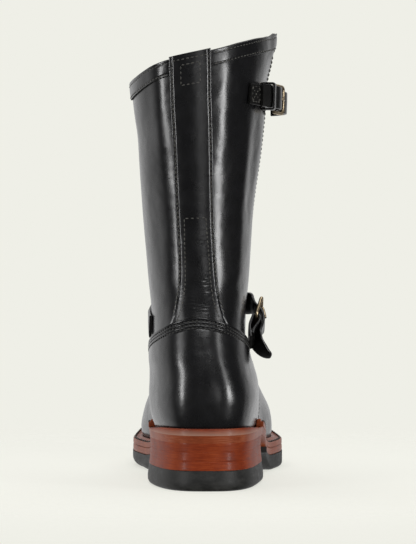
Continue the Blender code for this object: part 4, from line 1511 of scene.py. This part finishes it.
@dataclass
class SoleUnit:
    """Insole, midsole, rubber half sole, welt and heel rand."""

    shop: Workshop
    cut_y: float = 84.0
    edge: float = 4.0
    round_low: float = 3.0
    inner_ball: float = 1.2
    welt: float = 3.8
    rand: float = 4.6
    rand_fall: float = 3.9
    ridge_row: float = 0.6
    ridge_width: float = 2.4
    profile: Pairs = (
        (0.0, -1.1), (0.06, -0.5), (0.2, -0.25), (0.5, -0.2), (0.8, -0.25), (0.94, -0.5), (1.0, -1.0),
    )

    def ring(self, count: int) -> Array:
        """Columns round the foot, placed so that each has one across from it."""
        t = (np.arange(count) + 0.5) / count
        return t - 0.055 / 2.0 * np.sin(4.0 * math.pi * t)

    def build(self) -> None:
        """Makes every part of the sole but the heel."""
        form, sole, made = self.shop.form, self.shop.sole, self.shop.finishes
        u = self.ring(220)
        flat = form.outline(u, -2.8)
        loops = [np.column_stack([flat, sole.feather(flat[:, 1]) + rise]) for rise in (0.0, 3.4, 4.0)]
        new_piece("insole_board", plate_of(loops), [made.insole], ["insole"])
        loops = []
        at_heel = smooth((0.34 - share_of(u)) / 0.06)
        for share, extra in self.profile:
            flush = -1.7 + 0.7 * share
            flat = form.sole_edge(u, extra + (flush - extra) * at_heel)
            loops.append(np.column_stack([flat, sole.midsole_bottom(flat[:, 1]) + sole.midsole * share]))
        new_piece("leather_midsole", plate_of(loops), [made.sole], ["midsole"])
        self._half_sole()
        self._strips()

    def cut_loop(self, cut_y: float, tip: float, extra: Array, count: int) -> Array:
        """The sole's edge on one side of a straight cut, from its outer end round to its inner end.

        Args:
            cut_y: where the cut is.
            tip: the column in the middle.
            extra: how far outside the edge.
            count: places on each side.

        Returns:
            The places in plan.
        """
        form = self.shop.form
        t = np.linspace(0.0, 1.0, count)
        ways = []
        for side in Side:
            start = form.column_at_y(cut_y, side)
            u = start + (tip * side.value - start) * t
            way = form.sole_edge(u, extra)
            way[0, 1] = cut_y
            ways.append(way)
        middle = (ways[0][-1:] + ways[1][-1:]) / 2.0
        return np.concatenate([ways[0][:-1], middle, ways[1][-2::-1]])

    def _half_sole(self) -> None:
        """The rubber under the forepart, with its rounded lower edge and thin rear end."""
        sole = self.shop.sole
        top_edge = self.cut_loop(self.cut_y, 0.5, 0.0, 90)
        along = np.gradient(top_edge, axis=0)
        inward = unit(np.column_stack([-along[:, 1], along[:, 0]]))
        inward[[0, -1]] = 0.0
        inner = smooth((-top_edge[:, 0] - 30.0) / 14.0) * smooth((top_edge[:, 1] - 110.0) / 30.0)
        radius = self.round_low * (1.0 + self.inner_ball * inner)
        loops = []
        for turn in np.linspace(0.0, 90.0, 7):
            inset, rise = 1.0 - math.sin(math.radians(turn)), 1.0 - math.cos(math.radians(turn))
            flat = top_edge + inward * (inset * radius)[:, None]
            top = sole.midsole_bottom(flat[:, 1]) - sole.gap
            low = self.floor_z(flat[:, 1])
            loops.append(np.column_stack([flat, np.minimum(low + rise * radius, top - 0.6)]))
        top = sole.midsole_bottom(top_edge[:, 1]) - 0.05
        loops.append(np.column_stack([top_edge, top]))
        piece = new_piece("rubber_half_sole", plate_of(loops), [self.shop.finishes.rubber], ["half_sole"])
        rounded(piece, 0.4)

    def floor_z(self, y: Array) -> Array:
        """Underside of the half sole: thin at its rear end, then level, then the toe spring.

        Args:
            y: distances ahead of the heel's middle.

        Returns:
            The heights.
        """
        sole = self.shop.sole
        top = sole.midsole_bottom(y) - sole.gap
        run = smooth((y - self.cut_y) / (sole.shank_end_y + 4.0 - self.cut_y))
        return np.maximum(top - self.edge - (sole.ball_z - sole.gap - self.edge) * run, 0.0)

    def _against(self, u: Array, v: float) -> Array:
        """Places just outside the overlays at row v."""
        return self.shop.form.at(v, u, 2.25, Relief.PLAIN)

    def _strips(self) -> None:
        """The welt with its ridge and stitches, and the rand round the heel seat."""
        form, sole, made = self.shop.form, self.shop.sole, self.shop.finishes
        start = form.column_at_y(sole.breast_y + 2.0, Side.OUTER)
        end = 1.0 + form.column_at_y(sole.breast_y + 2.0, Side.INNER)
        u = np.linspace(start, end, 260)
        rings = self._welt_rings(u)
        piece = new_piece("welt_strip", solid_of(rings), [made.sole], ["welt"])
        rounded(piece, 0.5)
        bm = bmesh.new()
        lie = rings[:, 5] * 0.62 + rings[:, 4] * 0.38
        outs = np.tile([0.0, 0.0, 1.0], (len(u), 1))
        Thread(radius=0.95, length=2.9, pitch=5.4, sunk=-0.15).sew(bm, lie, outs)
        new_piece("welt_stitching", bm, [made.welt_thread], sharp=180.0)
        u = np.linspace(end - 1.0 + 0.0015, start - 0.0015, 140)
        foot, crest = self._against(u, 0.0), self._against(u, self.ridge_row)
        floor = sole.midsole_top(form.sole_edge(u)[:, 1])
        top = floor + self.rand - self.rand_fall * smooth((crest[:, 1] + 34.0) / 66.0)
        foot[:, 2], crest[:, 2] = sole.midsole_top(foot[:, 1]) + 0.05, np.maximum(top - 2.6, floor + 0.6)
        rings = [foot, crest]
        for inset, drop in ((2.4, 1.0), (1.5, 0.05), (1.2, 0.0), (0.95, 0.4)):
            rings.append(np.column_stack([form.sole_edge(u, -inset), top - drop]))
        rings.append(np.column_stack([form.sole_edge(u, -1.0), floor + 0.03]))
        new_piece("heel_seat_rand", solid_of(np.stack(rings, axis=1)), [made.stack], ["heel_rand"])

    def _welt_rings(self, u: Array) -> Array:
        """Sections of the welt: flat strip with a ridge against the upper.

        Args:
            u: columns.

        Returns:
            The sections.
        """
        form, sole = self.shop.form, self.shop.sole
        foot, middle, crest = (self._against(u, v) for v in (0.0, self.ridge_row / 2.0, self.ridge_row))
        flat = form.sole_edge(u, -0.3)
        low_in, low_out = sole.midsole_top(foot[:, 1]) + 0.05, sole.midsole_top(flat[:, 1]) + 0.05
        foot[:, 2] = low_in
        room = np.linalg.norm(flat - crest[:, :2], axis=1)
        width = np.minimum(self.ridge_width, 0.5 * room)
        away = (flat - crest[:, :2]) / room[:, None]
        shoulder = np.column_stack([crest[:, :2] + away * width[:, None], crest[:, 2]])
        valley = np.column_stack([crest[:, :2] + away * (width + 0.15 * room)[:, None], low_in + self.welt])
        rim = np.column_stack([flat, low_out + self.welt])
        under = np.column_stack([flat, low_out])
        return np.stack([foot, middle, crest, shoulder, valley, rim, under], axis=1)


@dataclass
class Heel:
    """The stacked leather heel and its rubber top piece."""

    shop: Workshop
    sole_unit: SoleUnit
    rubber_top: float = 13.5
    lean: float = 3.0
    flare: Pairs = (
        (0.0, -1.4), (2.5, 0.1), (7.0, -0.2), (13.5, -1.2), (20.0, -1.9), (26.0, -2.1), (31.3, -1.7),
        (36.3, -1.0), (41.5, -0.8),
    )

    def loop(self, z: float, inset: float) -> Array:
        """The heel's edge at height z.

        Args:
            z: the height.
            inset: how far inside the edge.

        Returns:
            The places.
        """
        sole = self.shop.sole
        front = sole.breast_y - self.lean * (1.0 - z / sole.seat_z)
        flat = self.sole_unit.cut_loop(front, 0.0, float(eased(self.flare, z)) - inset, 60)
        return np.column_stack([flat, np.full(len(flat), z)])

    def build(self) -> None:
        """Makes the rubber and the stack."""
        made = self.shop.finishes
        levels = ((0.0, 2.2), (0.25, 1.2), (0.8, 0.5), (1.6, 0.1), (3.0, 0.0), (6.0, 0.0), (9.5, 0.0),
                  (13.2, 0.0), (13.5, 0.35))
        loops = [self.loop(*level) for level in levels]
        rounded(new_piece("heel_top_piece", plate_of(loops), [made.rubber], ["heel_rubber"]), 0.5)
        step = (self.shop.sole.seat_z - self.rubber_top) / 3
        for i in range(3):
            bottom = self.rubber_top + 0.03 + step * i
            top = bottom + step - 0.02
            inside = [(z, 0.0) for z in np.linspace(bottom, top, 7)[1:-1]]
            levels = [(bottom, 0.06), (bottom + 0.1, 0.0), *inside, (top - 0.1, 0.0), (top, 0.06)]
            loops = [self.loop(*level) for level in levels]
            new_piece(f"stacked_lift_{i + 1}", plate_of(loops), [made.stack], [f"heel_lift_{i + 1}"])


@dataclass(frozen=True)
class Seat:
    """A flat place on the upper with its directions ahead, out and across."""

    origin: Array
    ahead: Array
    out: Array
    across: Array
    row: float
    column: float

    def place(self, ahead: float, out: float, across: float) -> Array:
        """A point by its distances from the seat."""
        return self.origin + self.ahead * ahead + self.out * out + self.across * across


@dataclass
class Strapwork:
    """Straps, tabs, keeper and buckles at the ankle and the collar."""

    shop: Workshop
    width: float = 15.0
    strap: float = 1.9
    wire: float = 1.2
    prong: float = 1.0
    buckle: float = 16.0
    corner: float = 2.6
    gap: float = 0.3

    def seat_at(self, u: float, z: float, rise: float) -> Seat:
        """A seat whose ahead direction runs along the ring, tipped up by `rise` degrees.

        Args:
            u: its column.
            z: its height.
            rise: the tip, in degrees.

        Returns:
            The seat.
        """
        form = self.shop.form
        v = float(form.row_at(u, z))
        along, out, _ = form.frame_at(v, u)
        level = np.cross(out, along)
        turn = math.radians(rise)
        ahead = along * math.cos(turn) + level * math.sin(turn)
        return Seat(form.at(v, u, relief=Relief.PLAIN), ahead, out, np.cross(out, ahead), v, u)

    def leather_height(self, seat: Seat, ahead: float, across: float) -> float:
        """How far the upper stands over the seat's plane at a place ahead of and across it.

        Args:
            seat: the seat.
            ahead: distance ahead.
            across: distance across.

        Returns:
            The height.
        """
        form = self.shop.form
        v, u = seat.row, seat.column
        for _ in range(8):
            reached = form.at(v, u, relief=Relief.PLAIN) - seat.origin
            miss = [ahead - reached @ seat.ahead, across - reached @ seat.across]
            along, _, up = form.frame_at(v, u)
            way = [[along @ seat.ahead, up @ seat.ahead], [along @ seat.across, up @ seat.across]]
            step, rows = np.linalg.solve(way, miss)
            u += step / float(form.ring_length(v))
            v = min(v + rows, TOP_ROW)
        return float((form.at(v, u, relief=Relief.PLAIN) - seat.origin) @ seat.out)

    def lying(self, seat: Seat, rows: Pairs) -> list[tuple[float, float]]:
        """Centre line of a strap on the leather, from rows of distance ahead and extra clearance.

        Args:
            seat: the seat.
            rows: the rows.

        Returns:
            Pairs of distance ahead and out.
        """
        half = self.width / 2.0
        line = []
        for ahead, extra in rows:
            clear = max(self.leather_height(seat, ahead, c) for c in (-half, 0.0, half))
            line.append((ahead, clear + self.gap + self.strap / 2.0 + extra))
        return line

    def ribbon(self, name: str, points: Array, across: Array, node: str, width: float,
               tip: float = 0.0) -> None:
        """A strap along a smooth line of places.

        Args:
            name: the piece's name.
            points: its centre line.
            across: the way across it at each place.
            node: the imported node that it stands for.
            width: its width.
            tip: length of its rounded end, or zero for a straight one.
        """
        centres, sides = through(points, 8), through(across, 8)
        ahead = np.gradient(centres, axis=0)
        slant = np.sum(sides * ahead, axis=1) / np.sum(ahead * ahead, axis=1)
        sides = unit(sides - ahead * slant[:, None])
        faces = unit(np.cross(ahead, sides))
        left = lengths_along(centres[::-1])[::-1]
        share = np.ones(len(centres))
        if tip:
            share = np.sqrt(np.clip(1.0 - np.clip(1.0 - left / tip, 0.0, 1.0) ** 2.2, 0.02, 1.0))
        section = rounded_section(width, self.strap)
        rings = [centres + sides * (a * share)[:, None] + faces * b for a, b in section]
        new_piece(name, solid_of(np.stack(rings, axis=1)), [self.shop.finishes.strap], [node])

    def folded(self, name: str, seat: Seat, path: Pairs, node: str, width: float) -> None:
        """A strap bent in one plane, along distances ahead of and out from a seat."""
        points = np.array([seat.place(a, o, 0.0) for a, o in path])
        self.ribbon(name, points, np.tile(seat.across, (len(points), 1)), node, width)

    def tab_path(self, lower: Pairs, bar_out: float, back: Pairs) -> list[tuple[float, float]]:
        """A tab that comes forward on the boot, wraps the buckle's bar and comes back on top.

        Args:
            lower: its way forward.
            bar_out: how far out the bar is.
            back: its way back.

        Returns:
            Pairs of distance ahead and out.
        """
        wrap = self.wire + self.gap + self.strap / 2.0
        turns = [math.radians(-90.0 + 30.0 * k) for k in range(7)]
        around = [(wrap * math.cos(t), bar_out + wrap * math.sin(t)) for t in turns]
        return [*lower, *around, *back]

    def frame(self, name: str, seat: Seat, rear: float, front: float, node: str) -> None:
        """The buckle's frame, a bar of rounded section bent to a rounded rectangle, and its prong.

        Args:
            name: the piece's name.
            seat: its seat.
            rear: how far out its bar is.
            front: how far out its far side is.
            node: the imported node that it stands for.
        """
        half, brass = self.width / 2.0 + self.gap + self.wire, [self.shop.finishes.brass]
        bends = rounded_loop((0.0, -half), (self.buckle, half), self.corner, 7)
        line = [seat.place(a, rear + (front - rear) * a / self.buckle, across) for a, across in bends]
        new_piece(name, bar_of(np.array(line), self.wire, seat.out, True), brass, [node])
        path = ((5.0, rear + 6.1), (9.0, rear + 5.4), (self.buckle - self.corner, front + 0.8))
        points = np.array([seat.place(a, o, 0.0) for a, o in through(path, 6)])
        new_piece(name + "_tongue", bar_of(points, self.prong, seat.across, False), brass, [node + "_prong"])

    def build(self) -> None:
        """Makes both sets of straps."""
        self._ankle()
        self._collar()

    def _ankle(self) -> None:
        """The strap over the instep, with its buckle on the outer side and the tail behind it."""
        form = self.shop.form
        seat = self.seat_at(0.2, 107.5, 12.0)
        bar = 7.0
        lower = self.lying(seat, ((-17.0, 1.4), (-13.0, 1.4), (-9.0, 1.4), (-5.0, 1.9)))
        back = ((-3.0, bar + 2.2), (-6.5, bar + 0.6), (-10.0, bar - 1.2), (-14.0, bar - 1.9))
        self.folded("instep_tab", seat, self.tab_path(lower, bar, back), "ankle_tab", self.width - 1.0)
        self.frame("instep_buckle", seat, bar, bar + 3.4, "ankle_buckle")
        rows = np.array([
            (0.842, 105.5, 1.4), (0.80, 107.0, 1.4), (0.74, 109.5, 1.4), (0.68, 115.5, 1.5),
            (0.62, 125.0, 1.8), (0.56, 134.5, 2.2), (0.50, 139.5, 2.4), (0.44, 134.0, 2.2),
            (0.38, 125.0, 1.8), (0.33, 119.5, 2.0),
        ])
        v = form.row_at(rows[:, 0], rows[:, 1])
        over = form.at(v, rows[:, 0], rows[:, 2], Relief.PLAIN)
        ups = unit(np.stack([form.frame_at(float(row), u)[2] for row, u in zip(v, rows[:, 0])]))
        tail = [
            (23.0, 3.6, -6.5, 0.0, 0.0), (17.5, 4.8, -3.2, 0.0, 0.0), (12.5, 6.2, -1.0, 0.0, 0.0),
            (8.0, 9.0, -0.2, 0.0, 0.0), (4.0, 11.2, 0.0, 0.0, 0.0), (-1.0, 12.0, 0.0, 0.0, 0.0),
            (-5.0, 11.0, -0.2, 0.1, 0.0), (-9.0, 9.3, -1.2, 0.25, 0.0), (-12.5, 8.7, -3.4, 0.45, -0.2),
            (-15.0, 9.6, -6.2, 0.65, -0.4), (-16.6, 11.9, -9.2, 0.75, -0.6), (-17.8, 14.9, -11.8, 0.8, -0.7),
            (-18.4, 17.2, -13.4, 0.8, -0.7),
        ]
        points = np.array([seat.place(a, o, c) for a, o, c, _, _ in tail])
        sides = unit(np.array([seat.across + seat.out * o + seat.ahead * a for _, _, _, o, a in tail]))
        self.ribbon("instep_strap", np.concatenate([over, points]), np.concatenate([ups, sides]),
                    "ankle_strap", self.width, tip=6.0)

    def _collar(self) -> None:
        """The short strap across the slit, with its tab, buckle and keeper."""
        seat = self.seat_at(0.225, 258.0, -7.0)
        bar = 6.6
        first, second, third = 2.2, 4.4, 6.6
        lower = self.lying(seat, ((-31.0, 0.0), (-26.0, 0.3), (-21.0, 1.2), (-15.0, first), (-9.0, first)))
        back = [(-4.0, bar + 2.1), *self.lying(seat, ((-9.0, second), (-13.5, second)))]
        path = self.tab_path([*lower, (-4.0, 3.6)], bar, back)
        self.folded("top_tab", seat, path, "collar_tab", self.width - 1.0)
        self.frame("top_buckle", seat, bar, bar + 3.8, "collar_buckle")
        high = self.lying(seat, ((-10.5, third + 0.5),))[0][1] + self.strap / 2.0 + self.gap
        self._keeper(seat, -15.5, high)
        tail = self.lying(seat, ((-22.0, 3.6), (-18.0, 5.2), (-14.5, third), (-10.0, third + 0.3)))
        ahead = [(-6.5, bar + 3.8), (-3.0, bar + 4.8), (1.0, bar + 4.9), (4.5, bar + 3.9), (8.5, 8.2),
                 (13.0, 5.2), (18.0, 4.8), (23.0, 7.2), (29.0, 9.0), (35.0, 8.6), (41.0, 4.0), (46.0, -3.0)]
        self.folded("top_strap", seat, tail + ahead, "collar_strap", self.width)
        self._tab_stitches(seat)

    def _tab_stitches(self, seat: Seat) -> None:
        """The box with a cross in it that holds the collar's tab.

        Args:
            seat: the seat of the collar's straps.
        """
        rear, front, half = -29.8, -21.8, 5.0
        cross = ((rear, -half), (front, -half), (front, half), (rear, half), (rear, -half), (front, half),
                 (rear, half), (front, -half))
        bm = bmesh.new()
        for start, end in zip(cross, cross[1:]):
            line = []
            for along, over in np.linspace(start, end, 6):
                lift = float(np.interp(along, (-31.0, -26.0, -21.0), (0.0, 0.3, 1.2)))
                top = self.lying(seat, ((along, lift),))[0][1] + self.strap / 2.0
                line.append(seat.place(along, top, over))
            Thread(radius=0.4, length=1.9, pitch=2.5).sew(bm, np.array(line), np.tile(seat.out, (6, 1)))
        # The thread's lighter colour paints its glints.
        new_piece("top_tab_stitching", bm, [self.shop.finishes.thread], sharp=180.0)

    def _keeper(self, seat: Seat, at: float, high: float) -> None:
        """The loop of leather round the tab and the strap's end.

        Args:
            seat: its seat.
            at: where it starts.
            high: how far out the leather inside it reaches.
        """
        depth, thickness, corner = 5.0, 1.2, 1.2
        half = self.width / 2.0 + 0.5 + thickness / 2.0
        clear = max(self.leather_height(seat, a, c) for a in (at, at + depth) for c in (-half, 0.0, half))
        low = clear + self.gap + thickness / 2.0
        line = rounded_loop((-half, low), (half, high + thickness / 2.0), corner, 5)
        along = np.roll(line, -1, axis=0) - np.roll(line, 1, axis=0)
        face = unit(np.column_stack([along[:, 1], -along[:, 0]]))
        rings = []
        for (across, out), (fa, fo) in zip(line, face):
            ring = [seat.place(at + depth / 2.0 + w, out + fo * t, across + fa * t)
                    for w, t in rounded_section(depth, thickness)]
            rings.append(ring)
        new_piece("strap_keeper", solid_of(np.array(rings), closed=True), [self.shop.finishes.strap],
                  ["collar_keeper"])


def rounded_loop(low: tuple[float, float], high: tuple[float, float], corner: float, steps: int) -> Array:
    """Places round a rectangle with rounded corners.

    Args:
        low: its low corner.
        high: its high corner.
        corner: radius of the corners.
        steps: places on each corner.

    Returns:
        The places, as pairs.
    """
    line = []
    for a, b, start in ((1, 1, 0), (0, 1, 90), (0, 0, 180), (1, 0, 270)):
        middle = [far - corner if past else near + corner for near, far, past in zip(low, high, (a, b))]
        for turn in np.radians(np.linspace(start, start + 90.0, steps)):
            line.append((middle[0] + corner * math.cos(turn), middle[1] + corner * math.sin(turn)))
    return np.array(line)


def bar_of(line: Array, radius: float, lift: Array, closed: bool) -> Mesh:
    """A round bar along a line, with `lift` roughly across it.

    Args:
        line: the bar's centre line.
        radius: its radius.
        lift: a direction roughly across it.
        closed: whether the line closes up.

    Returns:
        The bar, in metres.
    """
    steps = np.roll(line, -1, axis=0) - np.roll(line, 1, axis=0) if closed else np.gradient(line, axis=0)
    ahead = unit(steps)
    side = unit(np.cross(ahead, lift))
    other = np.cross(side, ahead)
    turns = np.linspace(0.0, 2.0 * math.pi, 13)[:-1]
    rings = [line + side * radius * math.cos(t) + other * radius * math.sin(t) for t in turns]
    return solid_of(np.stack(rings, axis=1), closed)


@dataclass(frozen=True)
class SoftBox:
    """A soft area light aimed at the middle of the boot. Its power is in watts."""

    name: str
    place: Triple
    size: tuple[float, float]
    power: float

    def build(self) -> None:
        """Makes the light."""
        data = bpy.data.lights.new(self.name, "AREA")
        data.shape = "RECTANGLE"
        data.size, data.size_y = self.size
        data.energy = self.power
        lamp = bpy.data.objects.new(self.name, data)
        lamp.location = self.place
        aim = AIM - Vector(self.place)
        lamp.rotation_euler = aim.to_track_quat("-Z", "Y").to_euler()
        lamp.visible_camera = False
        bpy.context.scene.collection.objects.link(lamp)


AIM = Vector((0.0, 0.02, 0.15))
LIGHTS = (
    SoftBox("left_low", (-1.2, -0.92, 0.14), (0.34, 0.4), 5.4),
    SoftBox("left_high", (-1.16, -0.96, 0.68), (0.6, 0.6), 2.6),
    SoftBox("right_low", (1.24, -0.82, 0.14), (0.36, 0.4), 7.0),
    SoftBox("right_high", (1.2, -0.86, 0.68), (0.34, 0.6), 2.2),
    SoftBox("low_soft", (0.42, -1.55, 0.1), (0.4, 0.3), 0.6),
    SoftBox("front_soft", (0.25, -1.5, 1.25), (0.5, 0.5), 6.0),
    SoftBox("top_soft", (0.0, 0.2, 1.6), (1.6, 1.2), 14.0),
)


@dataclass
class Studio:
    """Camera, pale floor and soft light."""

    camera_y: float = -1.888
    camera_z: float = 0.180
    pitch: float = math.atan2(57.0, 2849.0)
    lens: float = 188.54
    floor_colour: Triple = (0.863, 0.863, 0.799)
    floor_radius: float = 0.46
    floor_fade: float = 0.16
    floor_y: float = 0.11
    paper: float = 0.42
    paper_glow: float = 0.705
    lean: float = -0.35
    depth: float = 0.94
    dark_to: float = 0.25
    bright_from: float = 0.68
    dim: float = 0.04
    bright: float = 0.8

    def build(self) -> None:
        """Makes the camera, the floor, the lights and the air's own light."""
        scene = bpy.context.scene
        scene.view_settings.view_transform = "Standard"
        data = bpy.data.cameras.new("camera")
        data.lens = self.lens
        data.clip_end = 50.0
        camera = bpy.data.objects.new("camera", data)
        camera.location = (0.0, self.camera_y, self.camera_z)
        camera.rotation_euler = (math.pi / 2.0 - self.pitch, 0.0, 0.0)
        scene.collection.objects.link(camera)
        scene.camera = camera
        self._floor()
        self._world()
        for light in LIGHTS:
            light.build()

    def _floor(self) -> None:
        """A pale floor that takes the boot's soft shadow and fades into the air round it."""
        bm = bmesh.new()
        bmesh.ops.create_circle(bm, cap_ends=True, cap_tris=True, segments=96, radius=self.floor_radius)
        mesh = bpy.data.meshes.new("floor")
        bm.to_mesh(mesh)
        bm.free()
        mesh.materials.append(self._paper())
        floor = bpy.data.objects.new("floor", mesh)
        bpy.context.scene.collection.objects.link(floor)
        floor.location = (0.0, self.floor_y, 0.0)
        floor.visible_glossy = False

    def _paper(self) -> Material:
        """The floor's pale paper, which turns clear towards its rim.

        Returns:
            The material.
        """
        r = Recipe("floor_paper")
        r.surface(Base_Color=(*(self.paper * c for c in self.floor_colour), 1.0), Roughness=1.0,
                  Specular_IOR_Level=0.0, Emission_Color=(*self.floor_colour, 1.0),
                  Emission_Strength=self.paper_glow)
        far = r.add("VectorMath")
        far.operation = "LENGTH"
        r.link(r.place, far.inputs[0])
        fade = r.add("MapRange", Value=far.outputs["Value"],
                     From_Min=self.floor_fade, From_Max=self.floor_radius)
        fade.interpolation_type = "SMOOTHSTEP"
        clear = r.add("BsdfTransparent")
        faded = r.mixed_shaders(fade.outputs["Result"], r.shader.outputs["BSDF"], clear.outputs["BSDF"])
        r.link(faded, r.tree.nodes["Material Output"].inputs["Surface"])
        return r.material

    def _world(self) -> None:
        """Pale all round to the camera, and for light darker on the side that the heel faces."""
        world = bpy.data.worlds.new("studio")
        bpy.context.scene.world = world
        world.use_nodes = True
        air = Nodes(world.node_tree)
        away = air.add("VectorMath")
        away.operation = "DOT_PRODUCT"
        away.inputs[1].default_value = (self.lean, self.depth, 0.0)
        air.link(air.add("TexCoord").outputs["Generated"], away.inputs[0])
        ramp = air.add("MapRange", Value=away.outputs["Value"], To_Min=self.dim, To_Max=self.bright,
                       From_Min=self.dark_to, From_Max=self.bright_from)
        light = air.add("Background", Color=(1.0, 1.0, 1.0, 1.0), Strength=ramp.outputs["Result"])
        seen = air.add("Background", Color=(*self.floor_colour, 1.0))
        camera = air.add("LightPath").outputs["Is Camera Ray"]
        both = air.mixed_shaders(camera, light.outputs["Background"], seen.outputs["Background"])
        air.link(both, world.node_tree.nodes["World Output"].inputs["Surface"])


def corners(box: tuple[Vector, Vector]) -> list[list[float]]:
    """A box as plain lists of numbers."""
    return [[float(x) for x in corner] for corner in box]


def main() -> None:
    """Builds the boot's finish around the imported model, and the studio."""
    logging.basicConfig(level=logging.INFO, format="%(message)s")
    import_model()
    Studio().build()
    sole = SoleProfile()
    shop = Workshop(BootForm(sole, CREASES), sole, Finishes())
    shaft, stay, sole_unit = Shaft(shop), BackStay(shop), SoleUnit(shop)
    shaft.build()
    LowerLeathers(shop).build()
    stay.build()
    CollarBands(shop, shaft, stay).build()
    sole_unit.build()
    Heel(shop, sole_unit).build()
    Strapwork(shop).build()


if __name__ == "__main__":
    main()
